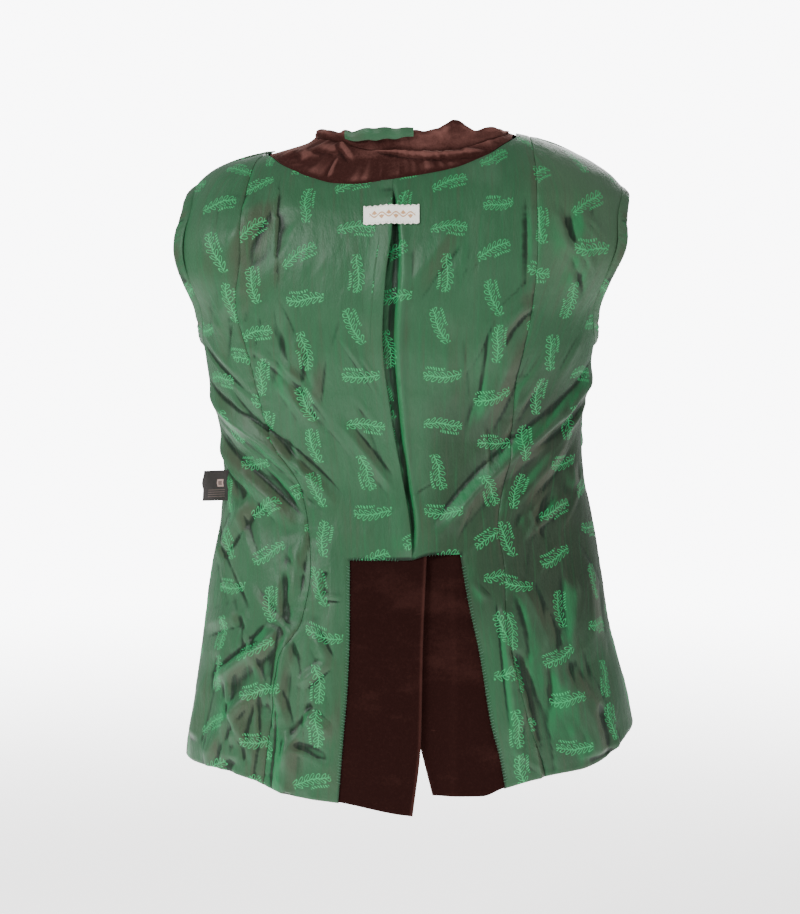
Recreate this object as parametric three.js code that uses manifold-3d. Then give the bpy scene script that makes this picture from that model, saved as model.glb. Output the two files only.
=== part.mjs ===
import * as THREE from 'three';
import { mergeVertices } from 'three/addons/utils/BufferGeometryUtils.js';
import Module from 'manifold-3d';

// A velvet blazer, turned inside out and worn, so that its lining is the outermost cloth.
// Millimetres, +Z up. The back faces -Y and the front +Y. +X is the right side seen from behind.
// The origin is at the base of the wearer's neck, level with the nape.
//
// Every panel is a wall between two lifts off one worn form. A place on the form is a turn round
// the body (0 at centre back, 90 degrees at the right side, 180 at centre front) and a height.

// Driving dimensions
const SEAM_GAP = 0.8;
const SHELL_LIFT = -0.2;
const SHELL_WALL = 2.0;
const NECK_DIP = 1.6;
const FACING_LIFT = 2.5;
const FACING_WALL = 1.8;
const LINING_LIFT = 5.2;
const LINING_WALL = 1.5;
const LINING_LAP = 4.0;
const COLLAR_WALL = 2.4;
const LAPEL_LIFT = -5.2;
const LAPEL_WALL = 2.0;
const VENT_TOP_LEFT = -437;
const VENT_TOP_RIGHT = -431;
const VENT_SINK = 6.5;
const FRONT_SINK = 6.5;
const SINK_TOP = -200;
const SINK_END = -222;
const FRONT_OVERLAP = 12;
const ROLL_TOP = 12;
const ROLL_TOP_ACROSS = 92;
const ROLL_END = -250;
const SIDE_SEAM_TURN = 89;
const ARMHOLE = { midY: 2, midZ: -125, halfY: 62, halfZ: 80 };
const LABEL = { left: -39, right: 23, top: -64, bottom: -84, wall: 1.0 };
const CARE_LABEL = { top: -346, bottom: -380, width: 29, wall: 1.0 };
const BUTTON = { radius: 10, depth: 3.6 };
const BUTTONS = [{ height: -268, gap: 1.3 }, { height: -358, gap: 0.2 }, { height: -448, gap: 1.0 }];
const YOKE_DROP = 10;
const CHEST = -60;
const VENT_SINK_TOP = -398;
const VENT_SINK_END = -424;
const SHOULDER = 2;
const CALM_RELIEF = 2.6;
const FOLD_REACH = 150;

const RADIANS = Math.PI / 180;
const table = (columns, rows) => rows.map((row) => (
  Object.fromEntries(columns.map((name, i) => [name, row[i]]))
));
const mix = (a, b, t) => a + (b - a) * t;
const clamp = (value, low, high) => Math.min(Math.max(value, low), high);
const ease = (value) => {
  const t = clamp(value, 0, 1);
  return t * t * (3 - 2 * t);
};

// The worn form: half-widths to each side, depths to the back and front, and how square it is
const FORM = table(['height', 'left', 'right', 'back', 'front', 'power'], [
  [-720, 233, 249, 151, 148, 2.35],
  [-655, 228, 246, 150, 146, 2.35],
  [-600, 221, 239, 147, 142, 2.35],
  [-520, 210, 221, 137, 134, 2.35],
  [-450, 201, 210, 121, 123, 2.35],
  [-400, 191, 201, 109, 115, 2.35],
  [-350, 187, 191, 103, 112, 2.35],
  [-312, 190, 189, 105, 115, 2.35],
  [-260, 201, 194, 114, 127, 2.4],
  [-206, 210, 203, 122, 133, 2.4],
  [-170, 218, 208, 122, 130, 2.4],
  [-130, 230, 222, 118, 122, 2.4],
  [-95, 232, 234, 110, 111, 2.35],
  [-60, 226, 236, 97, 96, 2.3],
  [-40, 216, 226, 87, 86, 2.2],
  [-26, 204, 208, 79, 78, 2.1],
  [-14, 184, 184, 71, 70, 2.05],
  [0, 146, 146, 63, 62, 2.0],
  [12, 100, 112, 57, 54, 2.0],
  [26, 84, 88, 52, 48, 2.0],
]);

// Seams and edges of the back: how far across each lies at a height
const PRINCESS = {
  left: table(['height', 'across'], [
    [-720, -149], [-655, -143], [-590, -134], [-541, -126], [-500, -104], [-450, -95], [-400, -98],
    [-359, -106], [-300, -139], [-224, -158], [-163, -171], [-111, -165], [-59, -164], [-26, -160],
    [-10, -155], [-1, -147],
  ]),
  right: table(['height', 'across'], [
    [-720, 158], [-654, 148], [-619, 135], [-582, 124], [-540, 115], [-502, 107], [-457, 107],
    [-398, 100], [-351, 107], [-313, 113], [-256, 117], [-179, 133], [-107, 140], [-36, 141],
    [-12, 139], [2, 137],
  ]),
};
const PLEAT_EDGE = table(['height', 'across', 'open'], [
  [-437, 10, 2], [-404, 8, 6], [-352, 0, 8], [-288, -11, 11], [-198, -21, 16], [-141, -18, 17],
  [-86, -11, 8], [-36, -10, 1],
]);
const VENT = {
  left: {
    felled: table(['height', 'across'], [[-705, -68], [-616, -61], [-568, -57], [-510, -55], [-437, -55]]),
    fold: table(['height', 'across'], [[-705, 10], [-625, 19], [-528, 21], [-437, 25]]),
  },
  right: {
    felled: table(['height', 'across'], [
      [-690, 110], [-646, 103], [-607, 93], [-534, 81], [-478, 69], [-431, 61],
    ]),
    fold: table(['height', 'across'], [[-690, 35], [-627, 19], [-530, -4], [-431, -15]]),
  },
};
const FRONT_FACING_EDGE = table(['height', 'across'], [
  [-720, 82], [-450, 78], [-250, 84], [-120, 112], [-30, 130], [4, 140],
]);
const LAPEL_WIDTH = table(['height', 'width'], [[-204, 9], [-150, 42], [-75, 66], [-40, 70], [-26, 62]]);

// Upper and lower edges: their height at each turn
const NECK_EDGE = table(['turn', 'height'], [
  [-90, 18], [-78, 15], [-53, 7], [-29, -2], [0, -6], [38, -8], [57, -3], [75, 6], [90, 13],
]);
const NECK_FACING_EDGE = table(['turn', 'height'], [
  [-90, 1], [-78, -4], [-64, -18], [-53, -29], [-41, -37], [-30, -39], [-9, -36], [12, -33],
  [34, -28], [54, -16], [66, -5], [82, 6], [90, 8],
]);
const HEM = {
  left: table(['turn', 'height'], [
    [-180, -686], [-150, -685], [-120, -672], [-90, -660], [-62, -659], [-54, -669], [-46, -676],
    [-38, -682], [-24, -688], [0, -701], [8, -703],
  ]),
  right: table(['turn', 'height'], [
    [-10, -676], [12, -681], [30, -682], [37, -674], [45, -666], [53, -661], [62, -660], [72, -654],
    [78, -646], [90, -640], [120, -662], [150, -684], [180, -686],
  ]),
};

// Folds in the lining. Each runs from its upper end to its lower one, bowed sideways at the middle.
// Rise is out from the form, and spread is how far it dies away on its left and right.
const FOLD_COLUMNS = ['fromAcross', 'fromHeight', 'toAcross', 'toHeight', 'bow', 'rise',
  'spreadLeft', 'spreadRight', 'fadeIn', 'fadeOut'];
const BACK_FOLDS = table(FOLD_COLUMNS, [
  [-149, -46, -181, -124, 3, 6, 14, 12, 0.3, 0.4],
  [-118, -60, -166, -150, 4, -4, 12, 12, 0.3, 0.5],
  [-207, -248, -62, -390, 4, 8, 12, 10, 0.25, 0.3],
  [-196, -282, -100, -392, 0, -3, 8, 8, 0.3, 0.4],
  [-194, -306, -103, -412, 3, 6, 11, 8, 0.3, 0.3],
  [-154, -362, -200, -455, 5, 5, 10, 10, 0.3, 0.4],
  [-180, -330, -175, -396, 0, 3, 10, 10, 0.4, 0.4],
  [-129, -238, -91, -300, 0, 4, 7, 7, 0.4, 0.4],
  [-106, -190, -124, -270, 2, 3, 9, 9, 0.4, 0.4],
  [-87, -206, -96, -282, 0, 3, 8, 8, 0.4, 0.4],
  [-75, -280, 2, -374, -4, 4, 8, 8, 0.4, 0.3],
  [-62, -150, -50, -240, 0, 2, 16, 16, 0.4, 0.4],
  [-107, -405, -122, -496, 3, 4, 8, 7, 0.3, 0.4],
  [-124, -505, -198, -578, 4, 6, 9, 10, 0.2, 0.4],
  [-150, -490, -208, -520, 0, 3, 10, 10, 0.4, 0.4],
  [-116, -500, -128, -600, 0, 5, 6, 8, 0.3, 0.3],
  [-158, -570, -178, -655, -3, 5, 9, 8, 0.3, 0.1],
  [-134, -600, -146, -676, 0, -5, 7, 7, 0.3, 0.02],
  [-118, -612, -122, -680, 0, 5, 8, 9, 0.4, 0.02],
  [-92, -512, -76, -548, 0, 3, 6, 6, 0.4, 0.4],
  [-108, -592, -72, -622, 2, 3, 7, 7, 0.3, 0.3],
  [-86, -450, -90, -500, 0, 3, 9, 9, 0.4, 0.4],
  [-205, -560, -222, -640, 0, 4, 14, 14, 0.3, 0.1],
  [137, -163, 96, -220, -7, 4, 9, 5, 0.2, 0.4],
  [117, -197, 70, -316, 4, 5, 13, 12, 0.3, 0.4],
  [200, -225, 32, -422, 2, 8, 11, 13, 0.15, 0.25],
  [192, -252, 138, -328, 0, -5, 10, 8, 0.3, 0.4],
  [176, -300, 100, -405, 4, 4, 12, 8, 0.3, 0.3],
  [177, -335, 180, -372, 0, 3, 8, 8, 0.4, 0.4],
  [62, -78, -2, -165, -4, 3, 14, 14, 0.3, 0.4],
  [40, -190, 52, -290, 0, 2, 16, 16, 0.4, 0.4],
  [102, -470, 121, -628, -3, 4, 4, 12, 0.2, 0.3],
  [112, -515, 148, -660, 3, -4, 6, 6, 0.3, 0.02],
  [114, -447, 166, -592, 5, 4, 9, 9, 0.3, 0.3],
  [168, -552, 210, -648, 0, 5, 15, 15, 0.3, 0.05],
  [190, -440, 205, -560, 0, 4, 14, 14, 0.4, 0.4],
  [188, -72, 195, -160, 3, 4, 6, 6, 0.3, 0.4],
  [174, -82, 182, -190, 3, 3, 7, 7, 0.3, 0.4],
  [-196, -95, -200, -190, -3, 4, 7, 7, 0.3, 0.4],
  [-182, -150, -190, -235, 0, 3, 8, 8, 0.3, 0.4],
  [196, -244, 189, -320, 0, -3, 9, 9, 0.3, 0.4],
]);
const FRONT_FOLDS = table(FOLD_COLUMNS, [
  [-206, -240, -92, -380, 4, 6, 12, 10, 0.2, 0.3],
  [204, -236, 96, -372, -4, 7, 10, 12, 0.2, 0.3],
  [-180, -60, -150, -190, 4, 4, 12, 12, 0.3, 0.4],
  [178, -56, 146, -196, -4, 4, 12, 12, 0.3, 0.4],
  [-150, -400, -190, -560, 5, 5, 12, 12, 0.3, 0.4],
  [146, -410, 196, -580, 5, 5, 12, 12, 0.3, 0.4],
  [-110, -500, -118, -680, 0, 5, 9, 12, 0.3, 0.05],
  [112, -520, 126, -676, 0, 5, 12, 9, 0.3, 0.05],
  [-172, -590, -186, -664, 0, -4, 8, 8, 0.3, 0.05],
  [166, -560, 180, -662, 0, 5, 10, 10, 0.3, 0.05],
  [-128, -230, -112, -330, 0, 3, 9, 9, 0.4, 0.4],
  [130, -200, 108, -300, 0, 3, 9, 9, 0.4, 0.4],
]);

// Inverted-U section of the collar: out from the neck edge and up from it
const COLLAR_SECTION = table(['out', 'up', 'ruffle'], [
  [-0.8, 0.6, 0], [0.4, 8, 0.4], [-0.4, 17, 0.9], [-6, 24, 1], [-12.5, 21, 1], [-14.5, 7, 0.7],
  [-15.5, -12, 0.5],
]);
const COLLAR_LUMPS = table(['turn', 'spread', 'rise'], [
  [46, 12, 9], [-62, 14, 4], [-38, 8, 3], [-8, 14, 2], [80, 12, 3],
]);

// Rings of the right sleeve, from the armhole inwards and down; the left one mirrors them
const SLEEVE_RINGS = table(['underX', 'underZ', 'capX', 'capZ', 'halfDepth'], [
  [188, -210, 187, -48, 61],
  [184, -220, 168, -62, 63],
  [181, -234, 151, -84, 67],
  [177, -250, 133, -116, 71],
  [171, -284, 114, -176, 73],
  [165, -322, 100, -250, 73],
  [160, -360, 90, -325, 71],
  [162, -400, 92, -390, 71],
  [168, -470, 102, -466, 69],
  [174, -550, 116, -548, 63],
  [178, -625, 126, -625, 58],
]);
const SLEEVE_LINING_RINGS = 4;

// A smooth curve through a table's rows, with no overshoot
function read(rows, by, value, column) {
  const last = rows.length - 1;
  if (value <= rows[0][by]) return rows[0][column];
  if (value >= rows[last][by]) return rows[last][column];
  const secant = (k) => (rows[k + 1][column] - rows[k][column]) / (rows[k + 1][by] - rows[k][by]);
  const slope = (k) => {
    if (k === 0) return secant(0);
    if (k === last) return secant(last - 1);
    const before = secant(k - 1);
    const after = secant(k);
    return before * after <= 0 ? 0 : (2 * before * after) / (before + after);
  };
  let i = 0;
  while (rows[i + 1][by] < value) i += 1;
  const span = rows[i + 1][by] - rows[i][by];
  const t = (value - rows[i][by]) / span;
  const rise = ease(t);
  return mix(rows[i][column], rows[i + 1][column], rise)
    + span * (slope(i) * t * (1 - t) * (1 - t) - slope(i + 1) * t * t * (1 - t));
}

// The worn form as a surface
const TILT = { slope: 0.055, easeFrom: 130, easeOver: 90, easeTo: 0.3, from: -150, over: 130 };

// The right shoulder sits higher than the left
function shoulderTilt(across, height) {
  const outer = mix(1, TILT.easeTo, ease((Math.abs(across) - TILT.easeFrom) / TILT.easeOver));
  return TILT.slope * across * outer * ease((height - TILT.from) / TILT.over);
}

function ringAt(turn, height) {
  return {
    width: read(FORM, 'height', height, Math.sin(turn) < 0 ? 'left' : 'right'),
    depth: read(FORM, 'height', height, Math.cos(turn) > 0 ? 'back' : 'front'),
    power: read(FORM, 'height', height, 'power'),
  };
}

function formPoint(turn, height) {
  const { width, depth, power } = ringAt(turn, height);
  const sideways = Math.abs(Math.sin(turn)) / width;
  const lengthways = Math.abs(Math.cos(turn)) / depth;
  const radius = (sideways ** power + lengthways ** power) ** (-1 / power);
  const x = radius * Math.sin(turn);
  return new THREE.Vector3(x, -radius * Math.cos(turn), height + shoulderTilt(x, height));
}

function formNormal(turn, height) {
  const step = 0.01;
  const reach = 1.5;
  const around = formPoint(turn + step, height).sub(formPoint(turn - step, height));
  const upward = formPoint(turn, height + reach).sub(formPoint(turn, height - reach));
  return around.cross(upward).normalize();
}

const liftedPoint = (turn, height, lift) => (
  formPoint(turn, height).addScaledVector(formNormal(turn, height), lift)
);

// The turn at which the back, or the front, lies a given way across
function turnAt(across, height, front = false) {
  const side = across < 0 ? -1 : 1;
  const { width, depth, power } = ringAt(front ? side * (Math.PI - 0.1) : side * 0.1, height);
  const share = Math.min(Math.abs(across) / width, 1);
  const lengthways = depth * (1 - share ** power) ** (1 / power);
  return Math.atan2(across, front ? -lengthways : lengthways);
}

const seam = (rows, side = 1, front = false) => (height) => (
  turnAt(side * read(rows, 'height', height, 'across'), height, front)
);
const nudged = (line, distance) => (height) => {
  const turn = line(height);
  const point = formPoint(turn, height);
  return turn + distance / Math.hypot(point.x, point.y);
};
const edge = (rows) => (turn) => read(rows, 'turn', turn / RADIANS, 'height');

// Folds
function layFold(fold, front) {
  const steps = 8;
  const spot = (across, height) => new THREE.Vector2(turnAt(across, height, front) * FOLD_REACH, height);
  const start = spot(fold.fromAcross, fold.fromHeight);
  const end = spot(fold.toAcross, fold.toHeight);
  const along = end.clone().sub(start).normalize();
  const sideways = new THREE.Vector2(-along.y, along.x).multiplyScalar(2 * fold.bow);
  const middle = start.clone().add(end).multiplyScalar(0.5).add(sideways);
  const curve = new THREE.QuadraticBezierCurve(start, middle, end);
  const low = Math.min(start.x, end.x);
  const high = Math.max(start.x, end.x);
  const margin = 3 * Math.max(fold.spreadLeft, fold.spreadRight) + Math.abs(fold.bow);
  return { ...fold, points: curve.getPoints(steps), low: low - margin, high: high + margin,
    floor: end.y - margin, ceiling: start.y + margin };
}

function foldRise(fold, spot) {
  if (spot.x < fold.low || spot.x > fold.high || spot.y < fold.floor || spot.y > fold.ceiling) return 0;
  let nearest = Infinity;
  let place = 0;
  let side = 1;
  for (let i = 0; i + 1 < fold.points.length; i += 1) {
    const a = fold.points[i];
    const along = fold.points[i + 1].clone().sub(a);
    const offset = spot.clone().sub(a);
    const t = clamp(offset.dot(along) / along.lengthSq(), 0, 1);
    const distance = offset.distanceTo(along.clone().multiplyScalar(t));
    if (distance < nearest) {
      nearest = distance;
      place = (i + t) / (fold.points.length - 1);
      side = along.x * offset.y - along.y * offset.x;
    }
  }
  const spread = side > 0 ? fold.spreadRight : fold.spreadLeft;
  const fade = ease(place / fold.fadeIn) * ease((1 - place) / fold.fadeOut);
  return fold.rise * fade * Math.exp(-((nearest / spread) ** 2));
}

const LAID_FOLDS = [
  ...BACK_FOLDS.map((fold) => layFold(fold, false)),
  ...FRONT_FOLDS.map((fold) => layFold(fold, true)),
];

// Where the lining is held down, its folds die away
const ventTop = (turn) => (
  mix(VENT_TOP_LEFT, VENT_TOP_RIGHT, ease((formPoint(turn, VENT_TOP_LEFT).x - 5) / 30))
);

function armholeDistance(point) {
  const away = Math.hypot((point.y - ARMHOLE.midY) / ARMHOLE.halfY, (point.z - ARMHOLE.midZ) / ARMHOLE.halfZ);
  return (away - 1) * Math.min(ARMHOLE.halfY, ARMHOLE.halfZ);
}

function liningRelief(turn, height) {
  const point = formPoint(turn, height);
  const spot = new THREE.Vector2(turn * FOLD_REACH, height);
  const folds = LAID_FOLDS.reduce((sum, fold) => sum + foldRise(fold, spot), 0);
  const degrees = turn / RADIANS;
  let held = 1;
  let settled = 0;
  if (Math.abs(degrees) < 90) {
    held *= mix(0.1, 1, ease((edge(NECK_FACING_EDGE)(turn) - height) / 34));
    const vent = point.x < 20 ? VENT.left : VENT.right;
    const felled = read(vent.felled, 'height', height, 'across');
    const outside = point.x < 20 ? felled - point.x : point.x - felled;
    held *= height > ventTop(turn)
      ? mix(ease((height - ventTop(turn)) / 30), 1, ease(outside / 25))
      : ease(outside / 24);
    const labelAcross = (point.x - (LABEL.left + LABEL.right) / 2) / 42;
    const labelUp = (height - (LABEL.top + LABEL.bottom) / 2) / 22;
    settled = Math.exp(-((labelAcross ** 4) + (labelUp ** 4)));
  } else {
    const facing = read(FRONT_FACING_EDGE, 'height', height, 'across');
    held *= mix(0.5, 1, ease((Math.abs(point.x) - facing) / 30));
  }
  const rim = ease(armholeDistance(point) / 30);
  const free = clamp((CALM_RELIEF + mix(folds, 0, settled)) * held, 0, 14);
  return mix(2, free, Math.abs(point.x) > 150 ? rim : 1);
}

// The centre-back ease pleat: its folded edge stands over the right panel, which dips beneath it
const pleatAcross = (height) => read(PLEAT_EDGE, 'height', height, 'across');
const underlap = (height) => 22 * ease((height + 425) / 60) * ease((-72 - height) / 30);
const pleatLift = (height) => 4.2 * ease((height + 437) / 15) * ease((-46 - height) / 14);

function leftBackRelief(turn, height) {
  const away = pleatAcross(height) - formPoint(turn, height).x;
  return mix(pleatLift(height), liningRelief(turn, height), ease(away / 26));
}

function rightBackRelief(turn, height) {
  const away = formPoint(turn, height).x - pleatAcross(height);
  const open = read(PLEAT_EDGE, 'height', height, 'open');
  return liningRelief(turn, height) * ease((away - 0.6 * open) / (0.5 * open + 6));
}

// Walls. A grid holds rows of points on the outer and inner face; kept(row, column) drops cells.
function wallGeometry(outer, inner, { closed = false, kept = () => true } = {}) {
  const rows = outer.length;
  const columns = outer[0].length;
  const positions = [...outer, ...inner].flat().flatMap((point) => point.toArray());
  const index = [];
  const id = (row, column) => row * columns + (column % columns);
  const inside = rows * columns;
  const edges = new Map();
  for (let row = 0; row + 1 < rows; row += 1) {
    for (let column = 0; column + (closed ? 0 : 1) < columns; column += 1) {
      if (!kept(row, column)) continue;
      const a = id(row, column);
      const b = id(row + 1, column);
      const c = id(row + 1, column + 1);
      const d = id(row, column + 1);
      index.push(a, b, c, a, c, d);
      index.push(a + inside, c + inside, b + inside, a + inside, d + inside, c + inside);
      for (const [from, to] of [[a, b], [b, c], [c, d], [d, a]]) {
        if (!edges.delete(`${to},${from}`)) edges.set(`${from},${to}`, [from, to]);
      }
    }
  }
  for (const [from, to] of edges.values()) {
    index.push(to, from, from + inside, to, from + inside, to + inside);
  }
  const geometry = new THREE.BufferGeometry();
  geometry.setAttribute('position', new THREE.Float32BufferAttribute(positions, 3));
  geometry.setIndex(index);
  return tidied(geometry);
}

function enclosedVolume(geometry) {
  const position = geometry.getAttribute('position');
  const corner = (i) => new THREE.Vector3().fromBufferAttribute(position, geometry.index.getX(i));
  let volume = 0;
  for (let i = 0; i < geometry.index.count; i += 3) {
    volume += corner(i).dot(corner(i + 1).cross(corner(i + 2))) / 6;
  }
  return volume;
}

// Keeps only the shared vertices of one closed body, with its faces pointing out
function tidied(geometry) {
  const bare = new THREE.BufferGeometry();
  const loose = geometry.index ? geometry.toNonIndexed() : geometry;
  bare.setAttribute('position', loose.getAttribute('position'));
  const merged = mergeVertices(bare, 1e-4);
  if (enclosedVolume(merged) < 0) merged.setIndex(Array.from(merged.index.array).reverse());
  merged.computeVertexNormals();
  return merged;
}

// A panel between lines that run down the form. Stops are its edges from the top to the hem.
function panelGeometry({ lines, columns, stops, rows, lift, wall, dropped }) {
  const turnFor = ({ strip, share }, height) => mix(lines[strip](height), lines[strip + 1](height), share);
  const meet = (place, stop) => {
    let height = stop(turnFor(place, -40));
    for (let i = 0; i < 6; i += 1) height = stop(turnFor(place, height));
    return height;
  };
  const places = [];
  columns.forEach((count, strip) => {
    for (let i = strip === 0 ? 0 : 1; i <= count; i += 1) places.push({ strip, share: i / count });
  });
  const outer = [];
  const inner = [];
  const blocks = [];
  rows.forEach((count, block) => {
    for (let i = block === 0 ? 0 : 1; i <= count; i += 1) {
      const line = places.map((place) => {
        const height = mix(meet(place, stops[block]), meet(place, stops[block + 1]), i / count);
        return { turn: turnFor(place, height), height };
      });
      outer.push(line.map(({ turn, height }) => liftedPoint(turn, height, lift(turn, height))));
      inner.push(line.map(({ turn, height }) => liftedPoint(turn, height, lift(turn, height) - wall)));
      if (i > 0) blocks.push(block);
    }
  });
  const kept = (row, column) => !(
    dropped && blocks[row] === dropped.block && places[column + 1].strip === dropped.strip
  );
  return wallGeometry(outer, inner, { kept });
}

// Booleans
const wasm = await Module();
wasm.setup();

function toSolid(geometry) {
  const bare = tidied(geometry);
  return new wasm.Manifold(new wasm.Mesh({
    numProp: 3,
    vertProperties: new Float32Array(bare.getAttribute('position').array),
    triVerts: new Uint32Array(bare.index.array),
  }));
}

function fromSolid(solid) {
  const mesh = solid.getMesh();
  const geometry = new THREE.BufferGeometry();
  geometry.setAttribute('position', new THREE.BufferAttribute(new Float32Array(mesh.vertProperties), 3));
  geometry.setIndex(new THREE.BufferAttribute(new Uint32Array(mesh.triVerts), 1));
  return tidied(geometry);
}

function armholeCut(geometry, side) {
  const bore = new THREE.CylinderGeometry(1, 1, 160, 40);
  bore.rotateZ(Math.PI / 2);
  bore.scale(1, ARMHOLE.halfY, ARMHOLE.halfZ);
  bore.translate(side * 230, ARMHOLE.midY, ARMHOLE.midZ);
  return fromSolid(toSolid(geometry).subtract(toSolid(bore)));
}

// Materials
const finish = (name, color, roughness) => (
  new THREE.MeshStandardMaterial({ name, color, roughness, metalness: 0 })
);
const VELVET = finish('velvet', 0x3a211d, 0.95);
const LINING = finish('lining', 0x4b7358, 0.45);
const LABEL_CLOTH = finish('label_cloth', 0xe9e4d8, 0.6);
const CARE_CLOTH = finish('care_cloth', 0x27201e, 0.6);
const HORN = finish('horn', 0x2c1a14, 0.35);

const garment = new THREE.Group();
garment.name = 'blazer';

function add(name, geometry, material) {
  const mesh = new THREE.Mesh(geometry, material);
  mesh.name = name;
  garment.add(mesh);
}

// Panels come in pairs. Near and far are counted from centre back round to centre front.
const SIDES = [{ name: 'left', sign: -1 }, { name: 'right', sign: 1 }];

function pairedPanel(sign, { near, far, guides = [], columns, dropped, ...rest }) {
  const lines = [nudged(near, sign * (SEAM_GAP / 2)), ...guides, nudged(far, -sign * (SEAM_GAP / 2))];
  const last = columns.length - 1;
  return panelGeometry({
    ...rest,
    lines: sign > 0 ? lines : lines.reverse(),
    columns: sign > 0 ? columns : [...columns].reverse(),
    dropped: dropped && { block: dropped.block, strip: sign > 0 ? dropped.strip : last - dropped.strip },
  });
}

const level = (height) => () => height;
const sideSeam = (sign) => () => sign * SIDE_SEAM_TURN * RADIANS;
const princess = (side) => (height) => {
  const turn = seam(PRINCESS[side.name])(height);
  return Math.abs(turn) > SIDE_SEAM_TURN * RADIANS ? sideSeam(side.sign)() : turn;
};
const hemEdge = (side) => edge(HEM[side.name]);
const facingEdge = (sign) => seam(FRONT_FACING_EDGE, sign, true);

// The front edge: a roll line down to the break, then straight, where the two fronts overlap
const frontEdge = (sign) => (height) => {
  const share = clamp((height - ROLL_END) / (ROLL_TOP - ROLL_END), 0, 1);
  const turn = turnAt(sign * mix(-FRONT_OVERLAP, ROLL_TOP_ACROSS, share), height, true);
  return turn * sign < 0 ? turn + sign * 2 * Math.PI : turn;
};

// The right back sinks near the vent, so that the left flap lies over it
function ventSink(sign, turn, height) {
  if (sign < 0) return 0;
  const sunk = ease((VENT_SINK_TOP - height) / (VENT_SINK_TOP - VENT_SINK_END));
  return VENT_SINK * sunk * ease((58 - formPoint(turn, height).x) / 30);
}

// The left front sinks near its edge, so that the right front lies over it
function frontSink(sign, turn, height) {
  if (sign > 0 || Math.cos(turn) > 0) return 0;
  const sunk = ease((SINK_TOP - height) / (SINK_TOP - SINK_END));
  return FRONT_SINK * sunk * ease((formPoint(turn, height).x + 60) / 34);
}

// A guide row under the neck, shared by the panels that meet at the princess seams
const yoke = (turn) => edge(NECK_FACING_EDGE)(turn) - YOKE_DROP;

const backStops = (side) => [
  yoke, level(CHEST - 2), level(VENT_SINK_TOP), level(VENT_SINK_END), ventTop, hemEdge(side),
];
const BACK_ROWS = [2, 6, 1, 1, 5];
const frontStops = (side) => [
  level(ROLL_TOP), level(SHOULDER), level(CHEST), level(SINK_TOP), level(SINK_END), level(ROLL_END),
  hemEdge(side),
];
const FRONT_ROWS = [1, 4, 5, 1, 1, 7];
const NECK_FACING_ROWS = 3;
const FACING_COLUMNS = 4;
const VENT_COLUMNS = 4;

// A facing reaches a little way under the lining that is felled onto it
const frontFacingOuter = (sign) => (height) => (
  nudged(facingEdge(sign), -sign * LINING_LAP * ease((-10 - height) / 30))(height)
);
const neckFacingFoot = (turn) => (
  edge(NECK_FACING_EDGE)(turn) - mix(-1.2, LINING_LAP, ease((60 * RADIANS - Math.abs(turn)) / (20 * RADIANS)))
);
const ventFacingOuter = (side) => nudged(seam(VENT[side.name].felled), side.sign * LINING_LAP);

// Velvet shell. It lies a little deeper under the facing where the neck meets the shoulder.
const shellLift = (height) => SHELL_LIFT - NECK_DIP * ease((height + 12) / 12);
const centreSeam = (side) => (height) => (
  mix(turnAt(3, height), seam(VENT[side.name].fold)(height), ease((VENT_SINK_END - height) / 7))
);

function shellBack(side) {
  return pairedPanel(side.sign, {
    near: centreSeam(side),
    guides: [ventFacingOuter(side)],
    far: princess(side),
    columns: [VENT_COLUMNS, 4],
    stops: [(turn) => edge(NECK_EDGE)(turn) - 1, neckFacingFoot, ...backStops(side)],
    rows: [NECK_FACING_ROWS, 1, ...BACK_ROWS],
    lift: (turn, height) => shellLift(height) - ventSink(side.sign, turn, height),
    wall: SHELL_WALL,
  });
}

function shellSide(side) {
  const panel = pairedPanel(side.sign, {
    near: princess(side),
    far: sideSeam(side.sign),
    columns: [4],
    stops: [level(-1), ...backStops(side)],
    rows: [1, ...BACK_ROWS],
    lift: (turn, height) => shellLift(height),
    wall: SHELL_WALL,
  });
  return armholeCut(panel, side.sign);
}

function shellFront(side) {
  const panel = pairedPanel(side.sign, {
    near: sideSeam(side.sign),
    guides: [frontFacingOuter(side.sign)],
    far: frontEdge(side.sign),
    columns: [4, FACING_COLUMNS],
    stops: frontStops(side),
    rows: FRONT_ROWS,
    lift: (turn, height) => shellLift(height) - frontSink(side.sign, turn, height),
    wall: SHELL_WALL,
  });
  return armholeCut(panel, side.sign);
}

// Velvet facings
function neckFacing() {
  const end = SIDE_SEAM_TURN * RADIANS;
  return panelGeometry({
    lines: [nudged(() => -end, SEAM_GAP / 2), nudged(() => end, -SEAM_GAP / 2)],
    columns: [24],
    stops: [edge(NECK_EDGE), neckFacingFoot],
    rows: [NECK_FACING_ROWS],
    lift: () => FACING_LIFT,
    wall: FACING_WALL,
  });
}

function frontFacing(side) {
  const { sign } = side;
  return pairedPanel(sign, {
    near: frontFacingOuter(sign),
    far: frontEdge(sign),
    columns: [FACING_COLUMNS],
    stops: frontStops(side),
    rows: FRONT_ROWS,
    lift: (turn, height) => FACING_LIFT - frontSink(sign, turn, height),
    wall: FACING_WALL,
  });
}

function ventFacing(side) {
  const { sign } = side;
  return pairedPanel(sign, {
    near: seam(VENT[side.name].fold),
    far: ventFacingOuter(side),
    columns: [VENT_COLUMNS],
    stops: [(turn) => ventTop(turn) + LINING_LAP, ventTop, hemEdge(side)],
    rows: [1, BACK_ROWS[4]],
    lift: (turn, height) => FACING_LIFT - ventSink(sign, turn, height),
    wall: FACING_WALL,
  });
}

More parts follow.
